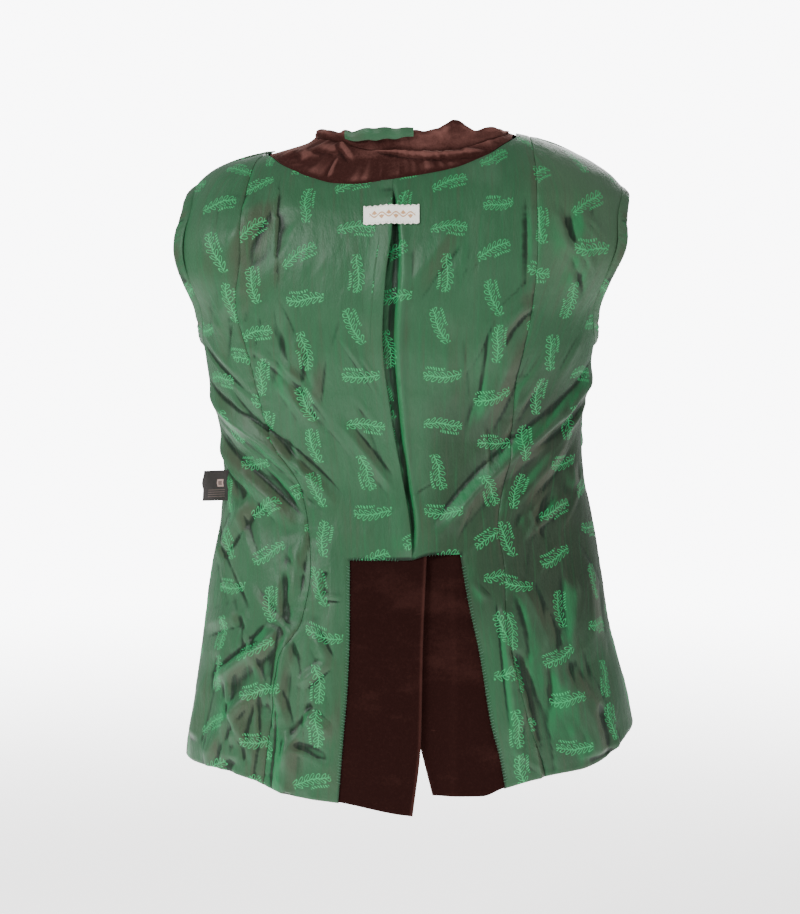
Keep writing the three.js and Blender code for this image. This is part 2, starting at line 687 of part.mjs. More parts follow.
// Lining
function liningBack(side) {
  const { sign } = side;
  const relief = sign < 0 ? leftBackRelief : rightBackRelief;
  return pairedPanel(sign, {
    near: (height) => turnAt(pleatAcross(height) - (sign > 0 ? underlap(height) : 0), height),
    guides: [seam(VENT[side.name].felled)],
    far: princess(side),
    columns: sign > 0 ? [7, 5] : [5, 7],
    stops: [edge(NECK_FACING_EDGE), yoke, ventTop, hemEdge(side)],
    rows: [2, 17, 11],
    lift: (turn, height) => LINING_LIFT + relief(turn, height),
    wall: LINING_WALL,
    dropped: { block: 2, strip: 0 },
  });
}

function liningSideBack(side) {
  const clearance = (height) => side.sign * 2 * ease((height + 16) / 10);
  const panel = pairedPanel(side.sign, {
    near: (height) => nudged(princess(side), clearance(height))(height),
    far: sideSeam(side.sign),
    columns: [6],
    stops: [level(side.sign > 0 ? 2 : -1), yoke, ventTop, hemEdge(side)],
    rows: [2, 17, 11],
    lift: (turn, height) => LINING_LIFT + liningRelief(turn, height),
    wall: LINING_WALL,
  });
  return armholeCut(panel, side.sign);
}

function liningFront(side) {
  const shoulderTop = (turn) => mix(2.4, -1, ease((Math.abs(turn) / RADIANS - SIDE_SEAM_TURN) / 12));
  const panel = pairedPanel(side.sign, {
    near: sideSeam(side.sign),
    far: facingEdge(side.sign),
    columns: [6],
    stops: [shoulderTop, level(CHEST), ventTop, hemEdge(side)],
    rows: [4, 8, 6],
    lift: (turn, height) => LINING_LIFT + liningRelief(turn, height),
    wall: LINING_WALL,
  });
  return armholeCut(panel, side.sign);
}

// Sleeves hang inside, through the armholes. A ring's angle starts under the arm.
const SLEEVE_SIDES = 16;

// A point of the armhole's oval grown by an offset, standing off the form sideways
function armholePoint(sign, angle, offset, lift) {
  const y = ARMHOLE.midY + (ARMHOLE.halfY + offset) * Math.sin(angle);
  const z = ARMHOLE.midZ - (ARMHOLE.halfZ + offset) * Math.cos(angle);
  const height = z - shoulderTilt(sign * 215, z);
  const { width, power } = ringAt(sign * Math.PI / 2, height);
  const { depth } = ringAt(y < 0 ? 0 : Math.PI, height);
  const x = sign * width * (1 - (Math.abs(y) / depth) ** power) ** (1 / power);
  return new THREE.Vector3(x + lift / formNormal(Math.atan2(x, -y), height).x, y, z);
}

function sleeveRingPoint(sign, ring, angle, offset) {
  const under = new THREE.Vector2(ring.underX, ring.underZ);
  const cap = new THREE.Vector2(ring.capX, ring.capZ);
  const half = cap.clone().sub(under).multiplyScalar(0.5);
  const across = half.clone().multiplyScalar((half.length() + offset) / half.length());
  const place = under.clone().add(half).addScaledVector(across, -Math.cos(angle));
  const y = ARMHOLE.midY + (ring.halfDepth + offset) * Math.sin(angle);
  return new THREE.Vector3(sign * place.x, y, place.y);
}

function ringRow(point) {
  const row = [];
  for (let i = 0; i < SLEEVE_SIDES; i += 1) row.push(point((i / SLEEVE_SIDES) * 2 * Math.PI));
  return row;
}

function sleeve(side) {
  const { sign } = side;
  const wall = (first, offset) => [
    ringRow((angle) => armholePoint(sign, angle, first, -7.4)),
    ...SLEEVE_RINGS.map((ring) => ringRow((angle) => sleeveRingPoint(sign, ring, angle, offset))),
  ];
  return wallGeometry(wall(1.6, 0), wall(-0.2, -2), { closed: true });
}

// The head of a sleeve's lining rolls over the armhole's edge and runs down the bore
const ARMHOLE_ROLL = table(['underOffset', 'underLift', 'overOffset', 'overLift'], [
  [7, 8.9, 7, 10.7],
  [3.4, 9.3, 3.2, 11.5],
  [-0.9, 7.2, -2.8, 9],
  [-2, -6.5, -3.4, -6.5],
]);

function sleeveLining(side) {
  const { sign } = side;
  const rings = SLEEVE_RINGS.slice(0, SLEEVE_LINING_RINGS);
  const wall = (offset, lift, depth) => [
    ...ARMHOLE_ROLL.map((row) => ringRow((angle) => armholePoint(sign, angle, row[offset], row[lift]))),
    ...rings.map((ring) => ringRow((angle) => sleeveRingPoint(sign, ring, angle, depth))),
  ];
  const under = wall('underOffset', 'underLift', -2.7);
  const over = wall('overOffset', 'overLift', -4);
  return wallGeometry(under, over, { closed: true });
}

// Collar: a ruffled roll along the neck edge, its fall turned inside
const COLLAR_RUFFLES = 14;
const COLLAR_SHOULDER = 0.8;
const COLLAR_CORNER = 0.88;
const COLLAR_END = -8;

function collarBase(place) {
  const sign = place < 0 ? -1 : 1;
  const share = Math.abs(place);
  const corner = ROLL_TOP + 1.2;
  const roll = (height) => nudged(frontEdge(sign), sign * 1.2)(Math.min(height, ROLL_TOP));
  const quarter = (sign * Math.PI) / 2;
  if (share <= COLLAR_SHOULDER) {
    const turn = (quarter * share) / COLLAR_SHOULDER;
    return { turn, height: edge(NECK_EDGE)(turn) };
  }
  if (share <= COLLAR_CORNER) {
    const along = (share - COLLAR_SHOULDER) / (COLLAR_CORNER - COLLAR_SHOULDER);
    return {
      turn: mix(quarter, roll(ROLL_TOP), along),
      height: mix(edge(NECK_EDGE)(quarter), corner, along),
    };
  }
  const height = mix(corner, COLLAR_END, (share - COLLAR_CORNER) / (1 - COLLAR_CORNER));
  return { turn: roll(height), height };
}

function collarPoint(place, out, up, ruffle) {
  const { turn, height } = collarBase(place);
  const base = liftedPoint(turn, height, FACING_LIFT);
  const { width, depth } = ringAt(turn, height);
  const outward = new THREE.Vector3(Math.sin(turn) / width, -Math.cos(turn) / depth, 0).normalize();
  const wave = Math.sin(place * COLLAR_RUFFLES * Math.PI + 0.6 * Math.sin(place * 9));
  const lumps = COLLAR_LUMPS.reduce(
    (sum, lump) => sum + lump.rise * Math.exp(-(((turn / RADIANS - lump.turn) / lump.spread) ** 2)),
    0,
  );
  const raised = up > 0 ? ruffle * (lumps + 1.6 * wave) : 0;
  return base.addScaledVector(outward, out + ruffle * 1.8 * wave).setZ(base.z + up + raised);
}

function collar() {
  const columns = 34;
  const section = [...COLLAR_SECTION].reverse();
  const rows = (wall) => section.map((row, i) => {
    const before = section[Math.max(i - 1, 0)];
    const after = section[Math.min(i + 1, section.length - 1)];
    const along = new THREE.Vector2(after.out - before.out, after.up - before.up).normalize();
    return Array.from({ length: columns + 1 }, (_, column) => (
      collarPoint((2 * column) / columns - 1, row.out + wall * along.y, row.up - wall * along.x, row.ruffle)
    ));
  });
  return wallGeometry(rows(0), rows(COLLAR_WALL));
}

const HANGER = { from: -0.42, to: 0.07, up: 13, width: 7, lift: 1.7, wall: 1.2 };

function hangerLoop() {
  const columns = 16;
  const face = (out) => [1, 0].map((row) => Array.from({ length: columns + 1 }, (_, column) => {
    const share = column / columns;
    const sag = -4 * Math.sin(Math.PI * share);
    return collarPoint(mix(HANGER.from, HANGER.to, share), out, HANGER.up + sag + row * HANGER.width, 0.9);
  }));
  return wallGeometry(face(HANGER.lift + HANGER.wall), face(HANGER.lift));
}

// Lapels: turned back inside along the roll line
const LAPEL_BEND = -2.9;

function lapel(side) {
  const { sign } = side;
  const roll = frontEdge(sign);
  const width = (height) => read(LAPEL_WIDTH, 'height', height, 'width');
  const lift = (turn, height) => {
    const point = formPoint(turn, height);
    const past = (turn - roll(height)) * sign * Math.hypot(point.x, point.y);
    const turned = mix(LAPEL_LIFT, LAPEL_BEND, ease((past + 4) / 4.3));
    const rolled = past < 0.3 ? turned : mix(LAPEL_BEND, 0.2, (past - 0.3) / 0.5);
    return rolled - frontSink(sign, turn, height);
  };
  return pairedPanel(sign, {
    near: (height) => nudged(roll, -sign * width(height))(height),
    guides: [nudged(roll, -sign * 4), nudged(roll, sign * 0.3)],
    far: nudged(roll, sign * 1.1),
    columns: [4, 1, 1],
    stops: [level(-26), level(-204)],
    rows: [9],
    lift,
    wall: LAPEL_WALL,
  });
}

// Labels
function labelLift(turn, height) {
  const fromPleat = formPoint(turn, height).x + 14;
  return LINING_LIFT + mix(2.9, 4.2, Math.exp(-((fromPleat / 12) ** 2))) + 0.5 + LABEL.wall;
}

function label() {
  return panelGeometry({
    lines: [(height) => turnAt(LABEL.left, height), (height) => turnAt(LABEL.right, height)],
    columns: [8],
    stops: [level(LABEL.top), level(LABEL.bottom)],
    rows: [3],
    lift: labelLift,
    wall: LABEL.wall,
  });
}

// It is caught in the left side seam and stands out from it
function careLabel() {
  const turn = -78 * RADIANS;
  const outward = new THREE.Vector3(-0.96, -0.26, 0).normalize();
  const sideways = new THREE.Vector3(outward.y, -outward.x, 0);
  const face = (lift) => [0, 1, 2, 3].map((row) => [4, 3, 2, 1, 0].map((column) => {
    const height = mix(CARE_LABEL.top, CARE_LABEL.bottom, row / 3);
    const reach = (column / 4) * CARE_LABEL.width;
    const curl = -3 * (column / 4) ** 2;
    return liftedPoint(turn, height, LINING_LIFT + liningRelief(turn, height) + 0.4)
      .addScaledVector(outward, reach)
      .addScaledVector(sideways, lift + curl);
  }));
  return wallGeometry(face(CARE_LABEL.wall), face(0));
}

// Buttons on the velvet side, seen from inside the hollow
function button({ height, gap }) {
  const { radius, depth } = BUTTON;
  const profile = [
    [0, 0], [radius - 1, 0], [radius, 1], [radius, depth - 1], [radius - 2, depth], [0, depth - 0.8],
  ];
  const disc = new THREE.LatheGeometry(profile.map(([out, up]) => new THREE.Vector2(out, up)), 12);
  const outward = formNormal(Math.PI, height);
  disc.applyQuaternion(new THREE.Quaternion().setFromUnitVectors(new THREE.Vector3(0, -1, 0), outward));
  const seat = liftedPoint(Math.PI, height, SHELL_LIFT - SHELL_WALL - FRONT_SINK - gap);
  disc.translate(seat.x, seat.y, seat.z);
  return tidied(disc);
}

for (const side of SIDES) {
  add(`shell_back_${side.name}`, shellBack(side), VELVET);
  add(`shell_side_${side.name}`, shellSide(side), VELVET);
  add(`shell_front_${side.name}`, shellFront(side), VELVET);
  add(`facing_front_${side.name}`, frontFacing(side), VELVET);
  add(`facing_vent_${side.name}`, ventFacing(side), VELVET);
  add(`lining_back_${side.name}`, liningBack(side), LINING);
  add(`lining_side_back_${side.name}`, liningSideBack(side), LINING);
  add(`lining_front_${side.name}`, liningFront(side), LINING);
  add(`sleeve_${side.name}`, sleeve(side), VELVET);
  add(`sleeve_lining_${side.name}`, sleeveLining(side), LINING);
  add(`lapel_${side.name}`, lapel(side), VELVET);
}
add('facing_neck_back', neckFacing(), VELVET);
add('collar', collar(), VELVET);
add('hanger_loop', hangerLoop(), LINING);
add('label', label(), LABEL_CLOTH);
add('care_label', careLabel(), CARE_CLOTH);
BUTTONS.forEach((row, i) => add(`button_${i + 1}`, button(row), HORN));

export default garment;
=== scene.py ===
"""A velvet blazer, turned inside out and worn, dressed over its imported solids.

Metres in Blender, millimetres in the pattern work. +Z is up, the back faces -Y and the front +Y,
and +X is the right side seen from behind.
"""
import sys
import logging
import math
from dataclasses import dataclass, field
from enum import Enum
from typing import Callable, ClassVar, NamedTuple, Optional, Sequence, Union

import bpy
import numpy as np
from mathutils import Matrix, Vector


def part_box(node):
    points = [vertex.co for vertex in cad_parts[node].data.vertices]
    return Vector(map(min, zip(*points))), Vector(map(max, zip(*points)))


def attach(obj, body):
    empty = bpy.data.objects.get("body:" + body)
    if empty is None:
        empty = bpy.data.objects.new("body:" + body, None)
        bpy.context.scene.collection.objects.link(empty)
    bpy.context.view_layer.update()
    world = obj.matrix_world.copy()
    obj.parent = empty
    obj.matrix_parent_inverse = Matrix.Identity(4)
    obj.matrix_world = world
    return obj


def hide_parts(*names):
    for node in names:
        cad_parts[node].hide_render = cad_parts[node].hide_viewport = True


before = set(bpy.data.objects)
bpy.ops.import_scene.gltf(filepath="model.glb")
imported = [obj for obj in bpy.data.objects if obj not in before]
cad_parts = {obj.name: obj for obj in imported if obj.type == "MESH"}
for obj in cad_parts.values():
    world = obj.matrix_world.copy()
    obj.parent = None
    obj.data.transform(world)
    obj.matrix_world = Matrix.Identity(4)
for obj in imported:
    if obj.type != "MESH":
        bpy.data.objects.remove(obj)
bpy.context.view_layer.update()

log = logging.getLogger("blazer")
MM = 0.001
RADIANS = math.pi / 180
CELL = 2.3
VELVET_CELL = 4.0
IMAGE_HEIGHT = 914

Line = Callable[[np.ndarray], np.ndarray]


class Side(Enum):
    """The two halves of the blazer, as seen from behind."""

    LEFT = -1
    RIGHT = 1

    @property
    def word(self) -> str:
        """The side's name in lower case."""
        return self.name.lower()


class Border(Enum):
    """The four borders of a cloth's grid."""

    TOP = "top"
    FOOT = "foot"
    LOW = "low turn"
    HIGH = "high turn"


# Plain maths on arrays
def mix(a: np.ndarray, b: np.ndarray, share: np.ndarray) -> np.ndarray:
    """Blends from a to b."""
    return a + (b - a) * share


def ease(value: np.ndarray) -> np.ndarray:
    """A smooth step from 0 to 1."""
    t = np.clip(value, 0, 1)
    return t * t * (3 - 2 * t)


def softened(values: np.ndarray, reach: int) -> np.ndarray:
    """Averages a grid over a square window.

    Args:
        values: The grid.
        reach: How many cells the window takes in on each side.

    Returns:
        The averaged grid.
    """
    for axis in (0, 1):
        margin = [(0, 0), (0, 0)]
        margin[axis] = (reach + 1, reach)
        total = np.cumsum(np.pad(values, margin, mode="edge"), axis=axis)
        size = total.shape[axis]
        upper = np.take(total, range(2 * reach + 1, size), axis=axis)
        lower = np.take(total, range(0, size - 2 * reach - 1), axis=axis)
        values = (upper - lower) / (2 * reach + 1)
    return values


class Curve:
    """A smooth curve through rows of (at, value), with no overshoot."""

    def __init__(self, *rows: tuple[float, float]) -> None:
        """Works out the slope at each row.

        Args:
            *rows: Each place and its value, in order.
        """
        self.at, self.value = np.array(rows, float).T
        secant = np.diff(self.value) / np.diff(self.at)
        before, after = secant[:-1], secant[1:]
        both = np.where(before * after > 0, before + after, 1)
        inner = np.where(before * after > 0, 2 * before * after / both, 0)
        self.slope = np.concatenate([secant[:1], inner, secant[-1:]])

    def __call__(self, at: np.ndarray) -> np.ndarray:
        """Reads the curve.

        Args:
            at: The places to read.

        Returns:
            The values there.
        """
        at = np.clip(at, self.at[0], self.at[-1])
        i = np.clip(np.searchsorted(self.at, at) - 1, 0, len(self.at) - 2)
        span = self.at[i + 1] - self.at[i]
        t = (at - self.at[i]) / span
        bend = self.slope[i] * t * (1 - t) ** 2 - self.slope[i + 1] * t * t * (1 - t)
        return mix(self.value[i], self.value[i + 1], ease(t)) + span * bend


class Noise:
    """Smooth seeded noise on a plane, the same on each run."""

    SIZE = 64

    def __init__(self, seed: int) -> None:
        """Fills the lattice."""
        self.lattice = np.random.default_rng(seed).random((self.SIZE, self.SIZE))

    def __call__(self, u: np.ndarray, v: np.ndarray) -> np.ndarray:
        """Reads the noise, from 0 to 1.

        Args:
            u: Places along the first axis.
            v: Places along the second axis.

        Returns:
            The noise there.
        """
        iu = np.floor(u).astype(int)
        iv = np.floor(v).astype(int)
        fu = ease(u - iu)
        fv = ease(v - iv)

        def corner(i: np.ndarray, j: np.ndarray) -> np.ndarray:
            """The lattice value at a corner."""
            return self.lattice[i % self.SIZE, j % self.SIZE]

        near = mix(corner(iu, iv), corner(iu + 1, iv), fu)
        return mix(near, mix(corner(iu, iv + 1), corner(iu + 1, iv + 1), fu), fv)

    def ridged(self, u: np.ndarray, v: np.ndarray) -> np.ndarray:
        """Noise with crisp crests, from -1 in the hollows to 1 on the crests."""
        return 1 - 4 * np.abs(self(u, v) - 0.5)


class WornForm:
    """The body's shape that the cloth is worn on: an oval ring at each height."""

    ROWS = (
        (-720, 233, 249, 151, 148, 2.35), (-655, 230, 250, 150, 146, 2.35), (-600, 221, 242, 147, 142, 2.35),
        (-520, 210, 221, 137, 134, 2.35), (-450, 201, 210, 121, 123, 2.35), (-400, 191, 201, 109, 115, 2.35),
        (-350, 187, 191, 103, 112, 2.35), (-312, 190, 189, 105, 115, 2.35), (-260, 201, 194, 114, 127, 2.4),
        (-206, 210, 203, 122, 133, 2.4), (-170, 218, 208, 122, 130, 2.4), (-130, 230, 222, 118, 122, 2.4),
        (-95, 232, 234, 110, 111, 2.35), (-60, 226, 236, 97, 96, 2.3), (-40, 216, 226, 87, 86, 2.2),
        (-26, 204, 208, 79, 78, 2.1), (-14, 184, 184, 71, 70, 2.05), (0, 146, 146, 63, 62, 2.0),
        (12, 100, 112, 57, 54, 2.0), (26, 84, 88, 52, 48, 2.0),
    )
    TILT_SLOPE = 0.055

    def __init__(self) -> None:
        """Makes a curve for each column: half-widths, depths, and how square the ring is."""
        curves = [Curve(*((row[0], row[k]) for row in self.ROWS)) for k in range(1, 6)]
        self.left, self.right, self.back, self.front, self.power = curves

    def tilt(self, across: np.ndarray, height: np.ndarray) -> np.ndarray:
        """The right shoulder sits higher than the left."""
        outer = mix(1, 0.3, ease((np.abs(across) - 130) / 90))
        return self.TILT_SLOPE * across * outer * ease((height + 150) / 130)

    def ring(self, turn: np.ndarray, height: np.ndarray) -> tuple[np.ndarray, np.ndarray, np.ndarray]:
        """The half-width, depth and squareness that hold at a turn and height.

        Args:
            turn: The turns round the form, in radians.
            height: The heights.

        Returns:
            The half-width, the half-depth and the power.
        """
        width = np.where(np.sin(turn) < 0, self.left(height), self.right(height))
        depth = np.where(np.cos(turn) > 0, self.back(height), self.front(height))
        return width, depth, self.power(height)

    def point(self, turn: np.ndarray, height: np.ndarray) -> np.ndarray:
        """A point of the form, in millimetres.

        Args:
            turn: Round the body, 0 at centre back and growing towards the right.
            height: Up the body, before the shoulders are tilted.

        Returns:
            Points, with x, y and z in the last axis.
        """
        turn, height = np.broadcast_arrays(turn, height)
        width, depth, power = self.ring(turn, height)
        sideways = np.abs(np.sin(turn)) / width
        lengthways = np.abs(np.cos(turn)) / depth
        radius = (sideways**power + lengthways**power) ** (-1 / power)
        x = radius * np.sin(turn)
        return np.stack([x, -radius * np.cos(turn), height + self.tilt(x, height)], axis=-1)

    def normal(self, turn: np.ndarray, height: np.ndarray) -> np.ndarray:
        """The outward direction of the form.

        Args:
            turn: The turns round the form, in radians.
            height: The heights.

        Returns:
            Unit vectors, with xyz last.
        """
        around = self.point(turn + 0.01, height) - self.point(turn - 0.01, height)
        upward = self.point(turn, height + 1.5) - self.point(turn, height - 1.5)
        out = np.cross(around, upward)
        return out / np.linalg.norm(out, axis=-1, keepdims=True)

    def lifted(self, turn: np.ndarray, height: np.ndarray, lift: np.ndarray) -> np.ndarray:
        """A point that stands off the form."""
        return self.point(turn, height) + self.normal(turn, height) * np.asarray(lift)[..., None]

    def girth_radius(self, turn: np.ndarray, height: np.ndarray) -> np.ndarray:
        """How far a point of the form is from the upright centre line."""
        point = self.point(turn, height)
        return np.hypot(point[..., 0], point[..., 1])

    def turn_at(self, across: np.ndarray, height: np.ndarray, front: bool = False) -> np.ndarray:
        """The turn at which the back, or the front, lies a given way across.

        Args:
            across: The way across, to the viewer's right.
            height: The heights.
            front: Whether it lies on the front.

        Returns:
            The turns.
        """
        across, height = np.broadcast_arrays(np.asarray(across, float), height)
        side = np.where(across < 0, -1, 1)
        width, depth, power = self.ring(side * ((math.pi - 0.1) if front else 0.1), height)
        share = np.minimum(np.abs(across) / width, 1)
        lengthways = depth * (1 - share**power) ** (1 / power)
        return np.arctan2(across, -lengthways if front else lengthways)


FORM = WornForm()


def seam(curve: Curve, sign: int = 1, front: bool = False) -> Line:
    """A line down the form that is given as a way across."""
    return lambda height: FORM.turn_at(sign * curve(height), height, front)


def nudged(line: Line, distance: Union[float, Line]) -> Line:
    """A line moved round the form by a distance in millimetres.

    Args:
        line: The line to move.
        distance: How far, the same all along or a line of its own.

    Returns:
        The moved line.
    """

    def moved(height: np.ndarray) -> np.ndarray:
        """The moved line's turn.

        Args:
            height: The heights.

        Returns:
            Its turns there.
        """
        way = distance(height) if callable(distance) else distance
        turn = line(height)
        return turn + way / FORM.girth_radius(turn, height)

    return moved


def border(curve: Curve) -> Line:
    """An upper or lower edge, given as a height at each turn in degrees."""
    return lambda turn: curve(turn / RADIANS)


def level(height: float) -> Line:
    """An edge at one height."""
    return lambda turn: np.full_like(turn, height)


class Cut:
    """The seams and edges that the panels share."""

    GAP = 0.3
    LAP = 4.0
    VENT_TOP_LEFT = -437
    VENT_TOP_RIGHT = -431
    SIDE_TURN = 89 * RADIANS
    PRINCESS = {
        Side.LEFT: Curve(
            (-720, -149), (-655, -143), (-590, -134), (-541, -126), (-500, -104), (-450, -95), (-400, -98),
            (-359, -106), (-300, -139), (-224, -158), (-163, -171), (-111, -165), (-59, -164), (-26, -160),
            (-10, -155), (-1, -147),
        ),
        Side.RIGHT: Curve(
            (-720, 158), (-654, 148), (-619, 135), (-582, 124), (-540, 115), (-502, 107), (-457, 107),
            (-398, 100), (-351, 107), (-313, 113), (-256, 117), (-179, 133), (-107, 140), (-36, 141),
            (-12, 139), (2, 137),
        ),
    }
    PLEAT = Curve(
        (-437, 10), (-404, 8), (-352, 0), (-288, -11), (-198, -21), (-141, -18), (-86, -11), (-36, -10)
    )
    PLEAT_OPEN = Curve((-437, 2), (-404, 6), (-352, 8), (-288, 11), (-198, 16), (-141, 17), (-86, 8),
                       (-36, 1))
    FELLED = {
        Side.LEFT: Curve((-705, -68), (-616, -61), (-568, -57), (-510, -55), (-437, -55)),
        Side.RIGHT: Curve((-690, 110), (-646, 103), (-607, 93), (-534, 81), (-478, 69), (-431, 61)),
    }
    VENT_FOLD = {
        Side.LEFT: Curve((-705, 10), (-625, 19), (-528, 21), (-437, 25)),
        Side.RIGHT: Curve((-690, 35), (-627, 19), (-530, -4), (-431, -15)),
    }
    FRONT_FACING = Curve((-720, 82), (-450, 78), (-250, 84), (-120, 112), (-30, 130), (4, 140))
    LAPEL_WIDTH = Curve((-204, 9), (-150, 42), (-75, 66), (-40, 70), (-26, 62))
    NECK = Curve((-90, 18), (-78, 15), (-53, 7), (-29, -2), (0, -6), (38, -8), (57, -3), (75, 6), (90, 13))
    NECK_FACING = Curve(
        (-90, 1), (-78, -4), (-64, -18), (-53, -29), (-41, -37), (-30, -39), (-9, -36), (12, -33), (34, -28),
        (54, -16), (66, -5), (82, 6), (90, 8),
    )
    HEM = {
        Side.LEFT: Curve(
            (-180, -686), (-150, -685), (-120, -672), (-90, -661), (-66, -660), (-54, -666), (-46, -676),
            (-38, -682), (-24, -688), (0, -701), (8, -703),
        ),
        Side.RIGHT: Curve(
            (-10, -676), (12, -681), (30, -682), (37, -674), (45, -666), (53, -661), (61, -657), (70, -645),
            (78, -631), (90, -625), (120, -662), (150, -684), (180, -686),
        ),
    }
    FRONT_OVERLAP = 12
    ROLL_TOP = 12
    ROLL_TOP_ACROSS = 92
    ROLL_END = -250
    SINK = 6.5
    SINK_TOP = -200
    VENT_SINK_TOP = -398
    ARMHOLE_MID = (2, -125)
    ARMHOLE_HALF = (62, 80)
    ARMHOLE_ACROSS = 150

    @classmethod
    def vent_top(cls, turn: np.ndarray) -> np.ndarray:
        """The height at which the lining stops above the vent."""
        across = FORM.point(turn, np.full_like(turn, cls.VENT_TOP_LEFT))[..., 0]
        return mix(cls.VENT_TOP_LEFT, cls.VENT_TOP_RIGHT, ease((across - 5) / 30))

    @classmethod
    def outside_felled(cls, across: np.ndarray, height: np.ndarray) -> np.ndarray:
        """How far out a place is from the felled edges beside the vent, below 0 between them."""
        left, right = (cls.FELLED[side](height) for side in Side)
        return np.where(across < 20, left - across, across - right)

    @classmethod
    def princess(cls, side: Side) -> Line:
        """The seam between the back and the side back.

        Args:
            side: Which side.

        Returns:
            The seam's line.
        """

        def line(height: np.ndarray) -> np.ndarray:
            """Its turn, kept short of the side seam."""
            turn = seam(cls.PRINCESS[side])(height)
            return np.clip(turn, -cls.SIDE_TURN, cls.SIDE_TURN)

        return line

    @classmethod
    def side_seam(cls, side: Side) -> Line:
        """The seam at the side of the body."""
        return lambda height: np.full_like(height, side.value * cls.SIDE_TURN)

    @classmethod
    def front_edge(cls, side: Side) -> Line:
        """The roll line down to the break, then the straight edge where the fronts overlap.

        Args:
            side: Which side.

        Returns:
            The edge's line.
        """

        def line(height: np.ndarray) -> np.ndarray:
            """Its turn, carried on past centre front.

            Args:
                height: The heights.

            Returns:
                Its turns there.
            """
            share = np.clip((height - cls.ROLL_END) / (cls.ROLL_TOP - cls.ROLL_END), 0, 1)
            across = side.value * mix(-cls.FRONT_OVERLAP, cls.ROLL_TOP_ACROSS, share)
            turn = FORM.turn_at(across, height, True)
            return np.where(turn * side.value < 0, turn + side.value * 2 * math.pi, turn)

        return line

    @classmethod
    def facing_edge(cls, side: Side) -> Line:
        """Where the lining of a front is felled to its facing."""
        return seam(cls.FRONT_FACING, side.value, True)

    @classmethod
    def vent_sink(cls, side: Side, turn: np.ndarray, height: np.ndarray) -> np.ndarray:
        """How far the right back sinks beneath the left flap near the vent.

        Args:
            side: Which side.
            turn: The turns round the form, in radians.
            height: The heights.

        Returns:
            The depth at each place.
        """
        if side is Side.LEFT:
            return np.zeros_like(turn)
        across = FORM.point(turn, height)[..., 0]
        return cls.SINK * ease((cls.VENT_SINK_TOP - height) / 26) * ease((58 - across) / 30)

    @classmethod
    def front_sink(cls, side: Side, turn: np.ndarray, height: np.ndarray) -> np.ndarray:
        """How far the left front sinks beneath the right one near its edge.

        Args:
            side: Which side.
            turn: The turns round the form, in radians.
            height: The heights.

        Returns:
            The depth at each place.
        """
        across = FORM.point(turn, height)[..., 0]
        sunk = cls.SINK * ease((cls.SINK_TOP - height) / 22) * ease((across + 60) / 34)
        return np.where((side.value > 0) | (np.cos(turn) > 0), 0, sunk)

    @classmethod
    def rim_swell(cls, points: np.ndarray) -> np.ndarray:
        """How far the cloth swells out towards an armhole's rim, where the sleeve is pushed in.

        Args:
            points: The points, with xyz last.

        Returns:
            The swell at each point.
        """
        away = (cls.armhole_away(points) - 1) * cls.ARMHOLE_HALF[0]
        most = np.where(points[..., 0] < 0, 15.0, 12.0)
        tall = np.exp(-(((points[..., 2] + 112) / 52) ** 2))
        return most * tall * ease(1 - np.maximum(away, 0) / 55) * (np.abs(points[..., 0]) > 130)

    @classmethod
    def armhole_away(cls, points: np.ndarray) -> np.ndarray:
        """How far out a point is from an armhole's middle, as a share of the oval.

        Args:
            points: The points, with xyz last.

        Returns:
            The shares, 1 on the oval itself.
        """
        return np.hypot(
            (points[..., 1] - cls.ARMHOLE_MID[0]) / cls.ARMHOLE_HALF[0],
            (points[..., 2] - cls.ARMHOLE_MID[1]) / cls.ARMHOLE_HALF[1],
        )


class Fold(NamedTuple):
    """One fold of the lining, from its upper end to its lower one."""

    from_across: float
    from_height: float
    to_across: float
    to_height: float
    bow: float
    rise: float
    left: float
    right: float
    fade_in: float
    fade_out: float


